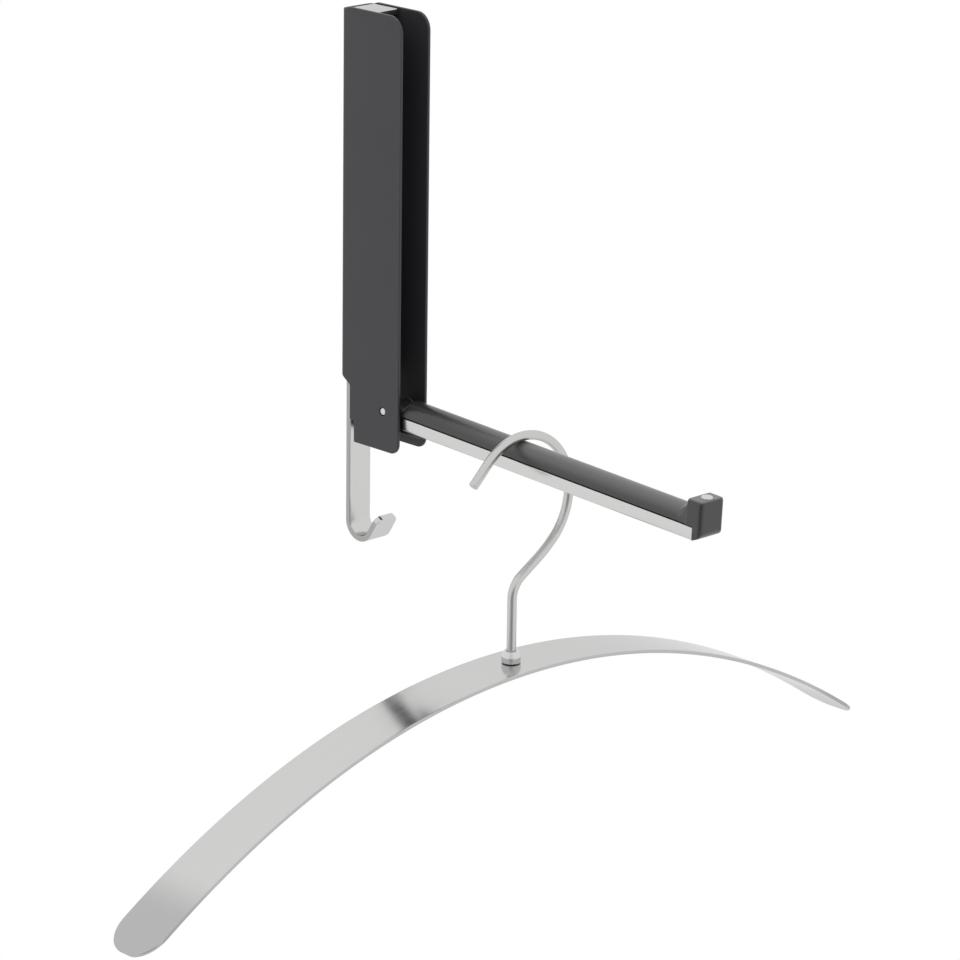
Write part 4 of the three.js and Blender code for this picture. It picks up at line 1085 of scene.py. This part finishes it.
def arched_strip():
    """The strip follows the arch's curve, with its top face on the curve and its middle line half its
    thickness below, along the curve's normal."""
    low, high = box_of("hanger_strip")
    half = (high[0] - low[0]) / 2
    ends = half - np.concatenate([quarter(HANGER_END_RADIUS, CORNER_STEPS), quarter(HANGER_EDGE)])
    x = np.unique(np.concatenate([-ends, ends, np.linspace(-half, half, ARCH_STEPS + 1)]))
    x = x[np.append(True, np.diff(x) > MERGE_DISTANCE)]
    share = x / half
    fourth = ARCH_FOURTH_POWER_SHARE
    slope = -HANGER_RISE / half * (2 * (1 - fourth) * share + 4 * fourth * share ** 3)
    heading = np.arctan(slope)
    from_end = half - np.abs(x)
    edge_in = end_inset(from_end, HANGER_EDGE)
    half_width = (high[1] - low[1]) / 2 - end_inset(from_end, HANGER_END_RADIUS) - edge_in
    section = rounded_bar(half_width, HANGER_THICKNESS / 2 - edge_in, HANGER_EDGE - edge_in)
    left = -np.sin(heading)[:, None] * ASIDE + np.cos(heading)[:, None] * UP
    face = x[:, None] * ASIDE - arch_drop(share)[:, None] * UP
    middle = face - left * HANGER_THICKNESS / 2
    rings = middle[:, None] + section[..., :1] * -ROOMWARD + section[..., 1:] * left[:, None] + SWIVEL
    ring_piece("arched_strip", HANGER_STEEL, "hanger_lower", "hanger_strip", rings,
               walked_along(middle))


def collar():
    """A collar with a tapered top: its section, a closed outline with round corners, is turned about the
    wire."""
    low, high = box_of("hanger_collar")
    radius = (high[0] - low[0]) / 2
    height = high[2] - low[2]
    half_edge = COLLAR_EDGE / 2
    bore = WIRE_RADIUS + half_edge
    profile = filleted([
        (bore, 0, half_edge), (radius, 0, COLLAR_EDGE), (radius, height - COLLAR_TAPER, COLLAR_EDGE),
        (COLLAR_TOP_RADIUS, height, COLLAR_EDGE), (bore, height, half_edge),
    ])
    profile = np.concatenate([profile, profile[:1]])
    place = np.array([SWIVEL[0], SWIVEL[1], low[2]])
    turned_piece("collar", "hanger_lower", "hanger_collar", profile, place, UP)


def cap_nut():
    """A cap nut, screwed on the shaft under the strip: an upright skirt, and a cap that at an angle a is
    radius times cosine a wide and stands dome times sine a beyond the skirt."""
    low, high = box_of("hanger_cap_nut")
    radius = (high[0] - low[0]) / 2
    height = high[2] - low[2]
    angles = np.linspace(0, math.pi / 2, 2 * CORNER_STEPS)
    dome = height * CAP_NUT_DOME_SHARE
    skirt = filleted([(0, 0, 0), (radius, 0, CAP_NUT_EDGE), (radius, height - dome, 0)])
    cap = np.stack([radius * np.cos(angles), height - dome + dome * np.sin(angles)], 1)
    profile = np.concatenate([skirt, cap[1:]])
    place = np.array([SWIVEL[0], SWIVEL[1], high[2]])
    turned_piece("cap_nut", "hanger_upper", "hanger_cap_nut", profile, place, -UP)


def dress_frame():
    """The pieces that keep their own solids get their finishes."""
    finishes = {"pivot_bush": BRONZE, "pivot_washer_left": NYLON, "pivot_washer_right": NYLON,
                "hanger_washer": NYLON}
    for node, material in finishes.items():
        mesh = frame["nodes"][node].data
        mesh.materials.clear()
        mesh.materials.append(material)


channel()
strip_with_hook()
stop_tongue()
pivot_pin()
wall_screws()
arm_moulding()
rail_tray()
rail_screws()
end_screw()
wire_hook()
arched_strip()
collar()
cap_nut()
dress_frame()


# Studio

FLOOR_DROP = 1.5  # metres under the valet, as where it is screwed to a wall at head height
FLOOR_SIZE = 40.0
FILL_STRENGTH = 0.72
KEY_POWER = 60.0
KEY_SIZE = 4.0
KEY_PLACE = (-0.6, -0.2, 2.1)
DARK_SIDE = 0.36  # how bright the studio's unlit side is, behind and under the photograph's camera
DARK_TOWARDS = (-0.69, -0.67, -0.20)
DARK_START = 0.72  # cosine of the angle from that direction at which the unlit side starts
DARK_FULL = 0.97  # and of the angle within which it is at its darkest
WHITE = (1, 1, 1, 1)


def seen(tree):
    """One for rays that show the studio itself, from the camera, in a gloss or through a surface; zero for
    the light that falls on things."""
    path = tree.nodes.new("ShaderNodeLightPath")
    camera, glossy, through = (Signal(tree, path.outputs[name]) for name in
                               ("Is Camera Ray", "Is Glossy Ray", "Is Transmission Ray"))
    return tree.node("ShaderNodeClamp", inputs={"Value": camera + glossy + through}), glossy


def even_light(tree, kind, direction, glossy):
    """The studio's even white, from a background or an emission. A gloss that looks towards the unlit side
    sees a dimmer white there."""
    towards = tuple(unit(np.array(DARK_TOWARDS)))
    facing = tree.node("ShaderNodeVectorMath", {"operation": "DOT_PRODUCT"}, (direction, towards), "Value")
    lit, unlit = (tree.node(kind, inputs={"Color": WHITE, "Strength": strength})
                  for strength in (1.0, DARK_SIDE))
    share = tree.between(facing, DARK_START, DARK_FULL) * glossy
    return tree.mix_shaders(share, lit, unlit)


def studio_world():
    """The world is the studio's even white where it is seen and a dimmer fill where it lights things."""
    world = bpy.data.worlds.new("studio")
    bpy.context.scene.world = world
    world.use_nodes = True
    tree = Tree(world.node_tree)
    shown, glossy = seen(tree)
    direction = tree.node("ShaderNodeTexCoord", output="Generated")
    white = even_light(tree, "ShaderNodeBackground", direction, glossy)
    fill = tree.node("ShaderNodeBackground", inputs={"Color": WHITE, "Strength": FILL_STRENGTH})
    tree.end("ShaderNodeOutputWorld", tree.mix_shaders(shown, fill, white))


def studio_floor():
    """A flat square far under the valet, which shines the same white where it is seen and is pale
    elsewhere."""
    half, level = FLOOR_SIZE / 2, CHANNEL_BOTTOM - FLOOR_DROP
    mesh = bpy.data.meshes.new("studio_floor")
    corners = [(-half, -half, level), (half, -half, level), (half, half, level), (-half, half, level)]
    mesh.from_pydata(corners, [], [(0, 1, 2, 3)])
    floor = bpy.data.objects.new("studio_floor", mesh)
    bpy.context.scene.collection.objects.link(floor)
    material, tree = finish("studio_floor")
    shown, glossy = seen(tree)
    place = tree.node("ShaderNodeTexCoord", output="Object")
    direction = tree.node("ShaderNodeVectorMath", {"operation": "NORMALIZE"}, (place,))
    pale = tree.node("ShaderNodeBsdfDiffuse", inputs={"Color": (0.9, 0.9, 0.9, 1)})
    bright = even_light(tree, "ShaderNodeEmission", direction, glossy)
    tree.end("ShaderNodeOutputMaterial", tree.mix_shaders(shown, pale, bright))
    mesh.materials.append(material)


def key_lamp():
    """A large square lamp over the valet, which looks at the pivot."""
    light = bpy.data.lights.new("key", "AREA")
    light.energy = KEY_POWER
    light.size = KEY_SIZE
    made = bpy.data.objects.new("key", light)
    made.visible_glossy = False  # a gloss shows the studio's even white alone
    made.location = KEY_PLACE
    made.rotation_euler = (Vector(PIVOT) - Vector(KEY_PLACE)).to_track_quat("-Z", "Y").to_euler()
    bpy.context.scene.collection.objects.link(made)


def photograph_camera():
    """The camera looks along the view's middle line, turned by azimuth, pitch and roll."""
    level = math.cos(VIEW_PITCH)
    back = np.array([math.sin(VIEW_AZIMUTH) * level, -math.cos(VIEW_AZIMUTH) * level, math.sin(VIEW_PITCH)])
    right = unit(np.cross(UP, back))
    above = np.cross(back, right)
    aim = VIEW_ASIDE * right + VIEW_RISE * above + PIVOT[2] * UP
    rolled = math.cos(VIEW_ROLL) * right + math.sin(VIEW_ROLL) * above
    upright = -math.sin(VIEW_ROLL) * right + math.cos(VIEW_ROLL) * above
    data = bpy.data.cameras.new("photograph")
    data.lens = LENS
    camera = bpy.data.objects.new("photograph", data)
    turn = Matrix(np.stack([rolled, upright, back], 1).tolist()).to_4x4()
    camera.matrix_world = Matrix.Translation(aim + VIEW_DISTANCE * back) @ turn
    bpy.context.scene.collection.objects.link(camera)
    bpy.context.scene.camera = camera


photograph_camera()
studio_world()
studio_floor()
key_lamp()
bpy.context.scene.view_settings.view_transform = "Standard"
